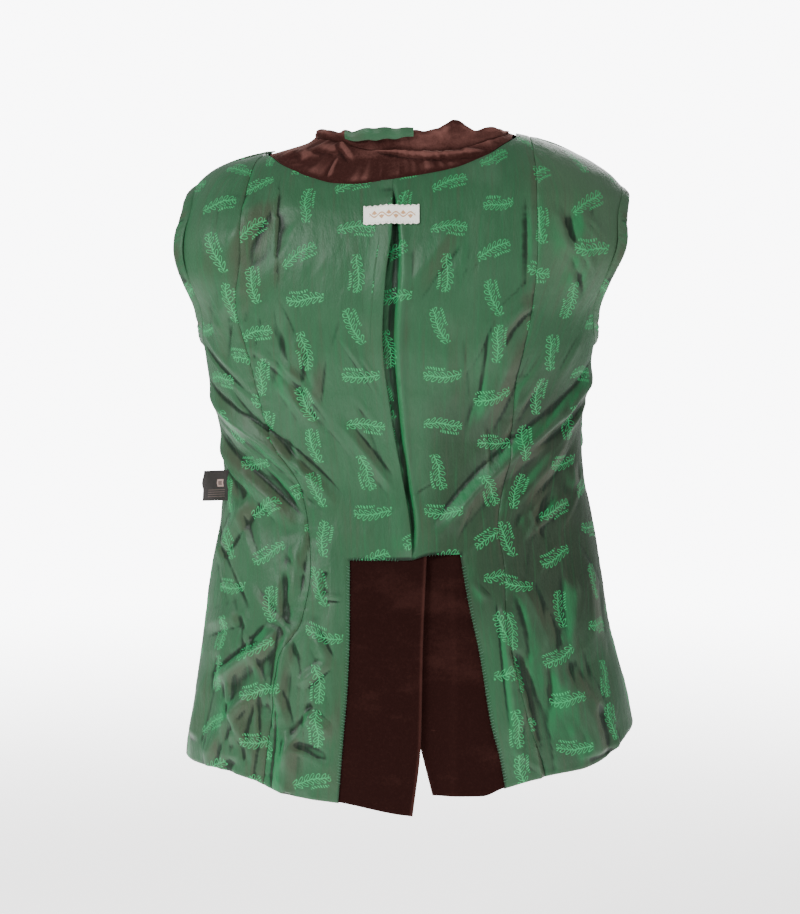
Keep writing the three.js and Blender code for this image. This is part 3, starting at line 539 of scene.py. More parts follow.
class Creases:
    """Folds laid on the back or the front, as a height that they add to the cloth."""

    REACH = 150
    STEPS = 8
    BACK = tuple(Fold(*row) for row in (
        (-149, -46, -181, -124, 3, 6, 14, 12, 0.3, 0.4), (-118, -60, -166, -150, 4, -4, 12, 12, 0.3, 0.5),
        (-207, -248, -62, -390, 4, 8, 12, 10, 0.25, 0.3), (-196, -282, -100, -392, 0, -3, 8, 8, 0.3, 0.4),
        (-194, -306, -103, -412, 3, 6, 11, 8, 0.3, 0.3), (-154, -362, -200, -455, 5, 5, 10, 10, 0.3, 0.4),
        (-180, -330, -175, -396, 0, 3, 10, 10, 0.4, 0.4), (-129, -238, -91, -300, 0, 4, 7, 7, 0.4, 0.4),
        (-106, -190, -124, -270, 2, 3, 9, 9, 0.4, 0.4), (-87, -206, -96, -282, 0, 3, 8, 8, 0.4, 0.4),
        (-75, -280, 2, -374, -4, 4, 8, 8, 0.4, 0.3), (-62, -150, -50, -240, 0, 2, 16, 16, 0.4, 0.4),
        (-107, -405, -122, -496, 3, 4, 8, 7, 0.3, 0.4), (-124, -505, -198, -578, 4, 6, 9, 10, 0.2, 0.4),
        (-150, -490, -208, -520, 0, 3, 10, 10, 0.4, 0.4), (-116, -500, -128, -600, 0, 5, 6, 8, 0.3, 0.3),
        (-158, -570, -178, -655, -3, 5, 9, 8, 0.3, 0.1), (-134, -600, -146, -676, 0, -5, 7, 7, 0.3, 0.02),
        (-118, -612, -122, -680, 0, 5, 8, 9, 0.4, 0.02), (-92, -512, -76, -548, 0, 3, 6, 6, 0.4, 0.4),
        (-108, -592, -72, -622, 2, 3, 7, 7, 0.3, 0.3), (-86, -450, -90, -500, 0, 3, 9, 9, 0.4, 0.4),
        (-205, -560, -222, -640, 0, 4, 14, 14, 0.3, 0.1), (137, -163, 96, -220, -7, 4, 9, 5, 0.2, 0.4),
        (117, -197, 70, -316, 4, 5, 13, 12, 0.3, 0.4), (200, -225, 32, -422, 2, 8, 11, 13, 0.15, 0.25),
        (192, -252, 138, -328, 0, -5, 10, 8, 0.3, 0.4), (176, -300, 100, -405, 4, 4, 12, 8, 0.3, 0.3),
        (177, -335, 180, -372, 0, 3, 8, 8, 0.4, 0.4), (62, -78, -2, -165, -4, 3, 14, 14, 0.3, 0.4),
        (40, -190, 52, -290, 0, 2, 16, 16, 0.4, 0.4), (102, -470, 121, -628, -3, 4, 4, 12, 0.2, 0.3),
        (113, -524, 155, -676, 3, -6, 5, 8, 0.15, 0.02), (114, -447, 166, -592, 5, 4, 9, 9, 0.3, 0.3),
        (-80, -446, -80, -476, 0, -3, 4, 4, 0.2, 0.2), (-80, -475, -57, -477, 0, 3, 3, 5, 0.2, 0.4),
        (-120, -448, -120, -511, 0, -4, 5, 7, 0.3, 0.3), (-135, -528, -199, -580, -4, 4, 7, 9, 0.2, 0.4),
        (-139, -580, -150, -690, 0, -6, 5, 5, 0.2, 0.02), (-160, -580, -204, -662, -3, 5, 8, 6, 0.3, 0.2),
        (-173, -624, -183, -672, 0, -4, 5, 6, 0.3, 0.05), (-135, -566, -120, -614, 2, 3, 5, 5, 0.3, 0.3),
        (-120, -626, -73, -648, 3, -4, 5, 7, 0.3, 0.4), (-75, -540, -109, -569, 0, 4, 6, 6, 0.3, 0.3),
        (70, -460, 92, -484, 0, 3, 5, 5, 0.4, 0.4), (178, -440, 170, -560, 4, 4, 9, 12, 0.3, 0.3),
        (140, -360, 128, -440, 0, 3, 10, 8, 0.4, 0.4), (205, -590, 218, -650, 0, -4, 7, 7, 0.3, 0.1),
        (168, -552, 210, -648, 0, 5, 15, 15, 0.3, 0.05), (190, -440, 205, -560, 0, 4, 14, 14, 0.4, 0.4),
        (188, -72, 195, -160, 3, 4, 6, 6, 0.3, 0.4), (174, -82, 182, -190, 3, 3, 7, 7, 0.3, 0.4),
        (-196, -95, -200, -190, -3, 4, 7, 7, 0.3, 0.4), (-182, -150, -190, -235, 0, 3, 8, 8, 0.3, 0.4),
        (196, -244, 189, -320, 0, -3, 9, 9, 0.3, 0.4),
    ))
    FRONT = tuple(Fold(*row) for row in (
        (-206, -240, -92, -380, 4, 6, 12, 10, 0.2, 0.3), (204, -236, 96, -372, -4, 7, 10, 12, 0.2, 0.3),
        (-180, -60, -150, -190, 4, 4, 12, 12, 0.3, 0.4), (178, -56, 146, -196, -4, 4, 12, 12, 0.3, 0.4),
        (-150, -400, -190, -560, 5, 5, 12, 12, 0.3, 0.4), (146, -410, 196, -580, 5, 5, 12, 12, 0.3, 0.4),
        (-110, -500, -118, -680, 0, 5, 9, 12, 0.3, 0.05), (112, -520, 126, -676, 0, 5, 12, 9, 0.3, 0.05),
        (-172, -590, -186, -664, 0, -4, 8, 8, 0.3, 0.05), (166, -560, 180, -662, 0, 5, 10, 10, 0.3, 0.05),
        (-128, -230, -112, -330, 0, 3, 9, 9, 0.4, 0.4), (130, -200, 108, -300, 0, 3, 9, 9, 0.4, 0.4),
    ))

    @classmethod
    def rise(cls, folds: Sequence[Fold], front: bool, turn: np.ndarray, height: np.ndarray) -> np.ndarray:
        """Adds up the folds at each place.

        Args:
            folds: The folds to lay.
            front: True for folds of the front.
            turn: Turns of the places.
            height: Heights of the places.

        Returns:
            How far the folds lift the cloth, in millimetres.
        """
        u = turn * cls.REACH
        total = np.zeros_like(u)
        for fold in folds:
            ends = [
                np.array([float(FORM.turn_at(across, np.array(float(up)), front)) * cls.REACH, up])
                for across, up in ((fold.from_across, fold.from_height), (fold.to_across, fold.to_height))
            ]
            along = ends[1] - ends[0]
            along = along / np.linalg.norm(along)
            middle = (ends[0] + ends[1]) / 2 + np.array([-along[1], along[0]]) * 2 * fold.bow
            t = np.linspace(0, 1, cls.STEPS + 1)[:, None]
            path = ends[0] * (1 - t) ** 2 + middle * 2 * t * (1 - t) + ends[1] * t * t
            margin = 3 * max(fold.left, fold.right) + abs(fold.bow)
            near = (
                (u > path[:, 0].min() - margin) & (u < path[:, 0].max() + margin)
                & (height > ends[1][1] - margin) & (height < ends[0][1] + margin)
            )
            if near.any():
                total[near] += cls.profile(fold, path, u[near], height[near])
        return total

    @classmethod
    def profile(cls, fold: Fold, path: np.ndarray, u: np.ndarray, v: np.ndarray) -> np.ndarray:
        """One fold's height at places near it: crisp at its crest, dying away to each side.

        Args:
            fold: The fold.
            path: The points along its crest.
            u: The places round the form, unrolled.
            v: Their heights.

        Returns:
            The fold's height there.
        """
        best = np.full_like(u, np.inf)
        place = np.zeros_like(u)
        turned = np.zeros_like(u)
        for i, (a, b) in enumerate(zip(path[:-1], path[1:])):
            along = b - a
            du, dv = u - a[0], v - a[1]
            t = np.clip((du * along[0] + dv * along[1]) / (along @ along), 0, 1)
            away = np.hypot(du - along[0] * t, dv - along[1] * t)
            closer = away < best
            best = np.where(closer, away, best)
            place = np.where(closer, (i + t) / cls.STEPS, place)
            turned = np.where(closer, along[0] * dv - along[1] * du, turned)
        spread = np.where(turned > 0, fold.right, fold.left)
        fade = ease(place / fold.fade_in) * ease((1 - place) / fold.fade_out)
        crest = np.exp(-1.5 * (np.sqrt(best**2 + 1.0) - 1.0) / spread)
        shape = mix(crest, np.exp(-((best / spread) ** 2)), 0.4)
        sharp = min(fold.left, fold.right)
        steep = (turned > 0) == (fold.right <= fold.left)
        trough = np.exp(-np.abs(best - 1.35 * sharp) / (0.42 * sharp))
        return fold.rise * fade * (shape - np.where(steep, 0.42, 0.12) * trough)


class Zone(NamedTuple):
    """A part of the lining that is strewn with small creases, all running much the same way."""

    across: float
    height: float
    half_across: float
    half_height: float
    lean: float
    count: int
    rise: float
    length: float


class Drape:
    """How the satin lining stands off the form: folds, crumple, and where it is held down."""

    LIFT = 5.2
    CALM = 2.6
    WALL = 0.9
    STIR = (
        (-150, -330, 60, 130, 0.5), (-125, -600, 75, 100, 0.8), (-70, -250, 55, 90, 0.2),
        (125, -330, 80, 110, 0.3), (160, -560, 60, 120, 0.2), (40, -140, 80, 90, -0.2),
    )
    LABEL_MID = (-8, -74)
    LABEL_HALF = (42, 22)
    STREWN_FADES = (0.35, 0.45)
    WIDEST = 222
    ZONES = tuple(Zone(*row) for row in (
        (-150, -300, 50, 90, -52, 14, 2.0, 95), (-70, -300, 60, 90, -60, 8, 1.4, 90),
        (-110, -190, 60, 60, -84, 8, 1.2, 80), (-150, -480, 50, 70, -66, 12, 2.0, 80),
        (-140, -610, 60, 70, -100, 14, 2.2, 85), (-75, -540, 22, 90, -70, 8, 1.6, 50),
        (130, -310, 60, 90, -122, 14, 1.8, 95), (60, -330, 50, 90, -118, 5, 1.0, 90),
        (150, -470, 50, 80, -80, 10, 1.4, 95), (160, -610, 50, 60, -68, 9, 1.3, 90),
        (182, -115, 20, 60, -84, 16, 2.0, 50), (-190, -130, 20, 70, -94, 10, 1.5, 60),
        (-30, -150, 70, 60, -95, 6, 0.8, 80), (70, -150, 50, 70, -130, 5, 0.9, 90),
    ))
    FRONT_ZONES = tuple(Zone(*row) for row in (
        (-140, -320, 60, 110, -55, 18, 2.4, 85), (140, -320, 60, 110, -125, 18, 2.4, 85),
        (-150, -580, 60, 90, -80, 18, 2.4, 80), (150, -580, 60, 90, -100, 18, 2.4, 80),
    ))

    def __init__(self) -> None:
        """Seeds the crumple and strews the small creases."""
        self.broad = Noise(11)
        self.fine = Noise(23)
        self.bend = Noise(5)
        self.back_folds = Creases.BACK + self.strewn(self.ZONES, 41)
        self.front_folds = Creases.FRONT + self.strewn(self.FRONT_ZONES, 43)

    @classmethod
    def strewn(cls, zones: Sequence[Zone], seed: int) -> tuple[Fold, ...]:
        """Strews small creases over zones.

        Args:
            zones: Where they lie, and which way they run.
            seed: Keeps them the same on each run.

        Returns:
            The creases.
        """
        chance = np.random.default_rng(seed)
        folds = []
        for zone in zones:
            for _ in range(zone.count):
                across = zone.across + zone.half_across * chance.uniform(-1, 1)
                height = zone.height + zone.half_height * chance.uniform(-1, 1)
                lean = math.radians(zone.lean + chance.normal(0, 13))
                half = zone.length * chance.uniform(0.3, 0.75)
                reach = (half * math.cos(lean), half * math.sin(lean))
                rise = zone.rise * chance.uniform(0.5, 1.25) * chance.choice([1, 1, -0.8])
                narrow = chance.uniform(2.6, 4.6)
                wide = narrow * chance.uniform(1.4, 2.6)
                left, right = (narrow, wide) if chance.random() < 0.5 else (wide, narrow)
                ends = [np.clip(across + way * reach[0], -cls.WIDEST, cls.WIDEST) for way in (-1, 1)]
                folds.append(Fold(ends[0], height - reach[1], ends[1], height + reach[1],
                                  half * chance.uniform(-0.12, 0.12), rise, left, right, *cls.STREWN_FADES))
        return tuple(folds)

    def crumple(self, turn: np.ndarray, height: np.ndarray) -> np.ndarray:
        """Crisp small creases, stronger where the lining is stirred.

        Args:
            turn: The turns round the form, in radians.
            height: The heights.

        Returns:
            The creases' height.
        """
        across = FORM.point(turn, height)[..., 0]
        stir = np.full_like(turn, 0.28)
        for mid, up, reach, tall, strength in self.STIR:
            near = np.exp(-(((across - mid) / reach) ** 2) - ((height - up) / tall) ** 2)
            stir = stir + strength * near * (np.cos(turn) > 0)
        u = turn * 190 + 14 * (self.bend(turn * 3.1, height / 60) - 0.5)
        v = height + 22 * (self.bend(turn * 2.3 + 9, height / 47 + 3) - 0.5)
        lean = np.where(across < 0, 1.0, -1.0) * 0.55
        a = u + lean * v
        b = v - lean * u
        large = self.broad.ridged(a / 26, b / 74)
        small = self.fine.ridged((u + 0.2 * v) / 11 + 5, (v - 0.3 * u) / 34)
        cross = self.fine.ridged((u - 0.9 * v) / 21 + 31, (v + 0.9 * u) / 58)
        return np.clip(stir, 0.06, 1.2) * (0.8 * large + 0.25 * small + 0.4 * cross)

    def relief(self, turn: np.ndarray, height: np.ndarray) -> np.ndarray:
        """How far the lining stands off its own lift.

        Args:
            turn: The turns round the form, in radians.
            height: The heights.

        Returns:
            The height off the lining's lift.
        """
        point = FORM.point(turn, height)
        across = point[..., 0]
        back = np.abs(turn) < math.pi / 2
        folds = np.where(
            np.abs(turn) < 100 * RADIANS, Creases.rise(self.back_folds, False, turn, height), 0
        ) + np.where(np.abs(turn) > 80 * RADIANS, Creases.rise(self.front_folds, True, turn, height), 0)
        crumple = self.crumple(turn, height)
        outside = Cut.outside_felled(across, height)
        top = Cut.vent_top(turn)
        by_neck = mix(0.1, 1, ease((border(Cut.NECK_FACING)(turn) - height) / 34))
        above = mix(ease((height - top) / 30), 1, ease(outside / 25))
        by_vent = np.where(height > top, above, ease(outside / 24))
        by_facing = mix(0.5, 1, ease((np.abs(across) - Cut.FRONT_FACING(height)) / 30))
        held = np.where(back, by_neck * by_vent, by_facing)
        label = np.exp(-(((across - self.LABEL_MID[0]) / self.LABEL_HALF[0]) ** 4)
                       - ((height - self.LABEL_MID[1]) / self.LABEL_HALF[1]) ** 4)
        calm = self.CALM + folds * np.where(back, 1 - label, 1)
        free = np.clip((calm + 1.1 * crumple * (1 - 0.7 * label * back)) * held, 0, 14)
        rim = ease((Cut.armhole_away(point) - 1) * Cut.ARMHOLE_HALF[0] / 30)
        return mix(2, free, np.where(np.abs(across) > Cut.ARMHOLE_ACROSS, rim, 1)) + Cut.rim_swell(point)

    def felling(self, turn: np.ndarray, height: np.ndarray) -> np.ndarray:
        """How far the lining's edge is drawn down onto the velvet it is felled to.

        Args:
            turn: The turns round the form, in radians.
            height: The heights.

        Returns:
            The depth at each place.
        """
        across = FORM.point(turn, height)[..., 0]
        back = np.abs(turn) < math.pi / 2
        outside = Cut.outside_felled(across, height)
        top = Cut.vent_top(turn)
        away = np.where(height < top, np.abs(outside), np.hypot(np.maximum(outside, 0), height - top))
        away = np.minimum(away, np.abs(border(Cut.NECK_FACING)(turn) - height))
        away = np.where(back, away, np.abs(np.abs(across) - Cut.FRONT_FACING(height)))
        return np.exp(-((away / 3.2) ** 2))

    def left_back(self, turn: np.ndarray, height: np.ndarray) -> np.ndarray:
        """The left back, whose folded edge stands over the right one.

        Args:
            turn: The turns round the form, in radians.
            height: The heights.

        Returns:
            The relief there.
        """
        away = Cut.PLEAT(height) - FORM.point(turn, height)[..., 0]
        proud = 5.0 * ease((height - Cut.VENT_TOP_LEFT) / 15) * ease((-46 - height) / 14)
        proud = proud + 3.0 * np.exp(-(((height + 150) / 70) ** 2))
        return mix(proud, self.relief(turn, height), ease(away / 24))

    def right_back(self, turn: np.ndarray, height: np.ndarray) -> np.ndarray:
        """The right back, which dips beneath the pleat's edge.

        Args:
            turn: The turns round the form, in radians.
            height: The heights.

        Returns:
            The relief there.
        """
        away = FORM.point(turn, height)[..., 0] - Cut.PLEAT(height)
        opening = Cut.PLEAT_OPEN(height)
        risen = ease((away - 0.55 * opening) / (0.35 * opening + 3))
        bank = 2.4 * ease(opening / 9) * np.exp(-(((away - 1.15 * opening) / 5) ** 2))
        creased = 0.8 * self.fine.ridged(away / 9, height / 30) * ease(opening / 8)
        return (self.relief(turn, height) + bank) * risen + (creased - 2.6 * ease(opening / 12)) * (1 - risen)


DRAPE = Drape()


@dataclass
class Grid:
    """A cloth's outer face: where each of its points lies on the form, and how far off it."""

    START_HEIGHT: ClassVar[float] = -40.0
    MEET_STEPS: ClassVar[int] = 8
    SAMPLED: ClassVar[np.ndarray] = np.linspace(-60, -640, 12)
    turn: np.ndarray
    height: np.ndarray
    lift: np.ndarray
    kept: np.ndarray

    @classmethod
    def laid(
        cls, lines: Sequence[Line], stops: Sequence[Line], cell: float,
        dropped: Optional[tuple[int, int]] = None
    ) -> "Grid":
        """Lays a grid between lines that run down the form and stops that run across it.

        Args:
            lines: Lines in order of growing turn.
            stops: Edges from the top to the foot.
            cell: The size of a cell in millimetres.
            dropped: The block of rows and the strip of columns that are cut away.

        Returns:
            The grid, with no lift yet.
        """

        def turn_for(place: np.ndarray, height: np.ndarray) -> np.ndarray:
            """The turn at a place across the lines.

            Args:
                place: Places across the lines, 1 for each strip.
                height: The heights.

            Returns:
                The turns.
            """
            strip = np.clip(np.floor(place).astype(int), 0, len(lines) - 2)
            values = np.stack([np.broadcast_to(line(height), height.shape) for line in lines])
            near = np.take_along_axis(values, strip[None], 0)[0]
            far = np.take_along_axis(values, strip[None] + 1, 0)[0]
            return mix(near, far, place - strip)

        def meet(places: np.ndarray, stop: Line) -> np.ndarray:
            """The height at which each place meets a stop.

            Args:
                places: Places across the lines.
                stop: The stop.

            Returns:
                The heights.
            """
            height = stop(turn_for(places, np.full_like(places, cls.START_HEIGHT)))
            for _ in range(cls.MEET_STEPS):
                height = stop(turn_for(places, height))
            return height

        rulers = []
        for near, far in zip(lines[:-1], lines[1:]):
            turn = near(cls.SAMPLED)
            arc = np.abs(far(cls.SAMPLED) - turn) * FORM.girth_radius(turn, cls.SAMPLED)
            rulers.append(max(1, round(float(arc.max()) / cell)))
        places = np.concatenate([
            strip + np.arange(0 if strip == 0 else 1, count + 1) / count for strip, count in enumerate(rulers)
        ])
        meets = [meet(places, stop) for stop in stops]
        heights, blocks = [], []
        for block, (upper, lower) in enumerate(zip(meets[:-1], meets[1:])):
            count = max(1, round(float(np.abs(upper - lower).max()) / cell))
            for i in range(0 if block == 0 else 1, count + 1):
                heights.append(mix(upper, lower, i / count))
                if i:
                    blocks.append(block)
        height = np.array(heights)
        turn = turn_for(np.broadcast_to(places, height.shape), height)
        kept = np.ones((height.shape[0] - 1, height.shape[1] - 1), bool)
        if dropped:
            strips = np.clip(np.floor((places[:-1] + places[1:]) / 2).astype(int), 0, len(lines) - 2)
            kept &= ~((np.array(blocks)[:, None] == dropped[0]) & (strips[None] == dropped[1]))
        return cls(turn, height, np.zeros_like(turn), kept)

    def turned(self, side: Border, steps: Sequence[tuple[float, float]]) -> "Grid":
        """Carries the cloth past a border, as an edge that rolls under.

        Args:
            side: The border to carry on from.
            steps: How far out from the border, and how far down from it, each new line lies.

        Returns:
            The wider grid.
        """
        across = side in (Border.TOP, Border.FOOT)
        first = side in (Border.TOP, Border.LOW)
        pick = (
            (lambda a: a[:1] if first else a[-1:]) if across
            else (lambda a: a[:, :1] if first else a[:, -1:])
        )
        turn, height, lift, kept = (pick(a) for a in (self.turn, self.height, self.lift, self.kept))
        turns, heights, lifts = [], [], []
        for out, down in steps:
            sign = {Border.TOP: 1, Border.FOOT: -1, Border.LOW: -1, Border.HIGH: 1}[side]
            turns.append(turn if across else turn + sign * out / FORM.girth_radius(turn, height))
            heights.append(height + sign * out if across else height)
            lifts.append(lift - down)
        keeps = [kept] * len(steps)
        axis = 0 if across else 1

        def joined(own: np.ndarray, added: list[np.ndarray]) -> np.ndarray:
            """The grid with the new lines on the right side of it."""
            return np.concatenate([*added[::-1], own] if first else [own, *added], axis=axis)

        return Grid(
            joined(self.turn, turns), joined(self.height, heights), joined(self.lift, lifts),
            joined(self.kept, keeps),
        )


class Cloth:
    """A wall of cloth between an outer and an inner face."""

    CRISP_ANGLE = 50

    def __init__(
        self, outer: np.ndarray, inner: np.ndarray, kept: Optional[np.ndarray] = None, closed: bool = False
    ) -> None:
        """Takes the two faces, in millimetres, each as rows by columns by xyz.

        Args:
            outer: The outer face.
            inner: The inner face.
            kept: Which quads are kept, or None for all of them.
            closed: Whether the last column meets the first.
        """
        self.outer = outer
        self.inner = inner
        self.closed = closed
        rows, columns = outer.shape[:2]
        self.kept = np.ones((rows - 1, columns - (0 if closed else 1)), bool) if kept is None else kept
        self.fold = np.zeros((rows, columns))
        self.shot = np.zeros((rows, columns))
        self.pattern = self.flat_pattern(outer)

    @classmethod
    def on_form(cls, grid: Grid, wall: float) -> "Cloth":
        """A cloth that lies on the worn form.

        Args:
            grid: The panel's grid.
            wall: The cloth's thickness.

        Returns:
            The cloth.
        """
        points = FORM.point(grid.turn, grid.height)
        normals = FORM.normal(grid.turn, grid.height)
        cloth = cls(
            points + normals * grid.lift[..., None],
            points + normals * (grid.lift - wall)[..., None],
            grid.kept,
        )
        cloth.pattern = cloth.flat_pattern(points)
        return cloth

    def flat_pattern(self, points: np.ndarray) -> np.ndarray:
        """The place of each point on the flat cut cloth, in millimetres, from arc lengths.

        Args:
            points: The points, with xyz last.

        Returns:
            The places, across and up.
        """
        rows, columns = points.shape[:2]
        if self.closed:
            points = np.concatenate([points, points[:, :1]], axis=1)
        across = np.linalg.norm(np.diff(points, axis=1), axis=-1)
        across = np.concatenate([np.zeros((rows, 1)), np.cumsum(across, axis=1)], axis=1)
        across = across - across[:, columns // 2, None]
        down = np.linalg.norm(np.diff(points, axis=0), axis=-1)
        down = np.concatenate([np.zeros((1, points.shape[1])), np.cumsum(down, axis=0)], axis=0)
        down = down - down[rows // 2, None]
        return np.stack([across, -down], axis=-1)

    def shaded(self, relief: np.ndarray, reach: int = 4) -> "Cloth":
        """Notes where the cloth is hollow or raised, and which way its folds face, for the materials' painted
        shade and highlights.

        Args:
            relief: The height of the cloth's relief.
            reach: The reach of its softening, in cells.

        Returns:
            The same cloth.
        """
        crisp = np.clip((relief - softened(relief, 2)) / 0.8, -1, 1)
        self.fold = np.clip(0.75 * crisp + (relief - softened(relief, reach + 4)) / 6, -1, 1)
        # Which way each fold faces, so that one side of it is painted lit and the other painted in shade.
        slope = np.gradient(relief, axis=1)
        self.shot = np.clip(1.1 * slope / CELL + softened(slope, 4) / CELL * 2.0, -1, 1)
        return self

    def cut_armhole(self, margin: float = 0.0) -> "Cloth":
        """Cuts away the cloth inside the armhole's oval, with its edge drawn onto the oval.

        Args:
            margin: How much larger than the armhole the hole is, as a share of it.

        Returns:
            The same cloth.
        """
        for face in (self.outer, self.inner):
            away = Cut.armhole_away(face) / (1 + margin)
            inside = (away < 1) & (np.abs(face[..., 0]) > Cut.ARMHOLE_ACROSS)
            if face is self.outer:
                hole = inside
                ring = np.zeros_like(inside)
                ring[1:] |= ~inside[:-1]
                ring[:-1] |= ~inside[1:]
                ring[:, 1:] |= ~inside[:, :-1]
                ring[:, :-1] |= ~inside[:, 1:]
                ring &= inside
            for axis, mid in ((1, Cut.ARMHOLE_MID[0]), (2, Cut.ARMHOLE_MID[1])):
                face[..., axis] = np.where(ring, mid + (face[..., axis] - mid) / np.maximum(away, 0.5),
                                           face[..., axis])
        corners = [hole[:-1, :-1], hole[1:, :-1], hole[1:, 1:], hole[:-1, 1:]]
        self.kept = self.kept & ~np.logical_and.reduce(corners)
        return self

    def flat_size(self) -> tuple[tuple[float, float], float]:
        """The cut's width and length, and its flat area, in metres.

        Returns:
            The width and the length, then the area.
        """
        quads = np.argwhere(self.kept)
        wrap = self.outer.shape[1]
        a, b, c, d = (
            self.outer[(quads[:, 0] + i), (quads[:, 1] + j) % wrap]
            for i, j in ((0, 0), (1, 0), (1, 1), (0, 1))
        )
        area = 0.5 * np.linalg.norm(np.cross(c - a, d - b), axis=1).sum() * MM * MM
        spread = [float(np.ptp(self.pattern[..., k])) * MM for k in (0, 1)]
        grow = max(1.0, area / (spread[0] * spread[1]))
        return (spread[0] * grow, spread[1]), float(area)

    def quads(self) -> tuple[np.ndarray, np.ndarray]:
        """The wall's quads: both faces, then the rim between them.

        Returns:
            The four points of each quad, then the place on the flat cut of each of them.
        """
        rows, columns = self.outer.shape[:2]
        count = rows * columns
        r, c = np.nonzero(self.kept)
        far = c + 1
        ring = [
            row * columns + column % columns for row, column in ((r, c), (r + 1, c), (r + 1, far), (r, far))
        ]
        front = np.stack(ring, axis=1)
        back = np.stack([ring[k] for k in (0, 3, 2, 1)], axis=1) + count
        start = np.concatenate(ring)
        end = np.concatenate([*ring[1:], ring[0]])
        lone = ~np.isin(start * count + end, end * count + start)
        rim = np.stack([end, start, start + count, end + count], axis=1)[lone]
        width = self.pattern.shape[1]
        spot = [r * width + c, (r + 1) * width + c, (r + 1) * width + far, r * width + far]
        ends = [np.concatenate([spot[k] for k in order])[lone] for order in ((0, 1, 2, 3), (1, 2, 3, 0))]
        flat = [
            np.stack(spot, axis=1), np.stack([spot[k] for k in (0, 3, 2, 1)], axis=1),
            np.stack([ends[1], ends[0], ends[0], ends[1]], axis=1),
        ]
        return np.concatenate([front, back, rim]), np.concatenate(flat)

    def made(self, name: str, grain: float = 0.0, shift: tuple[float, float] = (0, 0)) -> bpy.types.Object:
        """Makes the closed mesh.

        Args:
            name: The piece's name.
            grain: How far the cut is turned on the cloth, in degrees.
            shift: How far the cut is moved on the cloth, in millimetres.

        Returns:
            The Blender object, at the origin.
        """
        faces, places = self.quads()
        points = np.concatenate([self.outer.reshape(-1, 3), self.inner.reshape(-1, 3)]) * MM
        corner = points[faces]
        volume = np.einsum("ij,ij->i", corner[:, 0], np.cross(corner[:, 1], corner[:, 2])).sum()
        volume += np.einsum("ij,ij->i", corner[:, 0], np.cross(corner[:, 2], corner[:, 3])).sum()
        if volume < 0:
            faces, places = faces[:, ::-1], places[:, ::-1]
        used, faces = np.unique(faces, return_inverse=True)
        faces = faces.reshape(-1, 4)
        mesh = bpy.data.meshes.new(name)
        mesh.vertices.add(len(used))
        mesh.vertices.foreach_set("co", points[used].ravel())
        mesh.loops.add(faces.size)
        mesh.loops.foreach_set("vertex_index", faces.ravel())
        mesh.polygons.add(len(faces))
        mesh.polygons.foreach_set("loop_start", np.arange(0, faces.size, 4))
        mesh.polygons.foreach_set("use_smooth", np.ones(len(faces), bool))
        turn = grain * RADIANS
        u, v = (self.pattern.reshape(-1, 2)[places.ravel()] + np.array(shift)).T
        sine, cosine = math.sin(turn), math.cos(turn)
        placed = np.stack([u * cosine - v * sine, u * sine + v * cosine], axis=1)
        mesh.uv_layers.new(name="cut").data.foreach_set("uv", (placed * MM).ravel())
        # These values carry painted shade, highlights and lit or shaded fold sides into the materials.
        for label, values in (("fold", self.fold), ("shot", self.shot)):
            layer = mesh.attributes.new(label, "FLOAT", "POINT")
            layer.data.foreach_set("value", np.concatenate([values.ravel(), values.ravel()])[used])
        mesh.update(calc_edges=True)
        mesh.validate()
        piece = bpy.data.objects.new(name, mesh)
        bpy.context.scene.collection.objects.link(piece)
        smooth_by_angle(piece, self.CRISP_ANGLE)
        return piece


def only(piece: bpy.types.Object) -> None:
    """Makes a piece the only one selected.

    Args:
        piece: The piece.
    """
    bpy.ops.object.select_all(action="DESELECT")
    piece.select_set(True)
    bpy.context.view_layer.objects.active = piece


def smooth_by_angle(piece: bpy.types.Object, degrees: float) -> None:
    """Shades a piece smooth, but for the edges that turn more than an angle.

    Args:
        piece: The piece.
        degrees: The least angle of an edge that stays crisp.
    """
    only(piece)
    bpy.ops.object.shade_smooth_by_angle(angle=math.radians(degrees))
    piece.select_set(False)


# Shader maths
Value = Union["Wire", float]


class Wire:
    """A shader socket that is added, scaled and compared as a plain number is."""

    def __init__(self, bench: "Bench", socket: bpy.types.NodeSocket) -> None:
        """Wraps an output socket."""
        self.bench = bench
        self.socket = socket

    def _math(self, operation: str, *values: Value) -> "Wire":
        """Adds a Math node."""
        return self.bench.math(operation, *values)

    def __add__(self, other: Value) -> "Wire":
        """self + other."""
        return self._math("ADD", self, other)

    __radd__ = __add__

    def __sub__(self, other: Value) -> "Wire":
        """self - other."""
        return self._math("SUBTRACT", self, other)

    def __rsub__(self, other: Value) -> "Wire":
        """other - self."""
        return self._math("SUBTRACT", other, self)

    def __mul__(self, other: Value) -> "Wire":
        """self * other."""
        return self._math("MULTIPLY", self, other)

    __rmul__ = __mul__

    def __truediv__(self, other: Value) -> "Wire":
        """self / other."""
        return self._math("DIVIDE", self, other)

    def __pow__(self, other: Value) -> "Wire":
        """self ** other."""
        return self._math("POWER", self, other)

    def __lt__(self, other: Value) -> "Wire":
        """1 where self is less than other."""
        return self._math("LESS_THAN", self, other)

    def __gt__(self, other: Value) -> "Wire":
        """1 where self is more than other."""
        return self._math("GREATER_THAN", self, other)

    def __abs__(self) -> "Wire":
        """The size of self, whatever its sign."""
        return self._math("ABSOLUTE", self)

    def floor(self) -> "Wire":
        """The whole number at or below self."""
        return self._math("FLOOR", self)

    def sine(self) -> "Wire":
        """The sine of self."""
        return self._math("SINE", self)

    def cosine(self) -> "Wire":
        """The cosine of self."""
        return self._math("COSINE", self)

    def step(self, low: float, high: float) -> "Wire":
        """A smooth step from 0 at low to 1 at high, or the other way when low is the greater.

        Args:
            low: Where the step has its 0.
            high: Where it has its 1.

        Returns:
            The stepped value.
        """
        settings = {"interpolation_type": "SMOOTHSTEP"}
        if low <= high:
            return self.bench.node("ShaderNodeMapRange", settings, Value=self,
                                   **{"From Min": low, "From Max": high})
        return 1 - self.step(high, low)


Color = tuple[float, float, float]


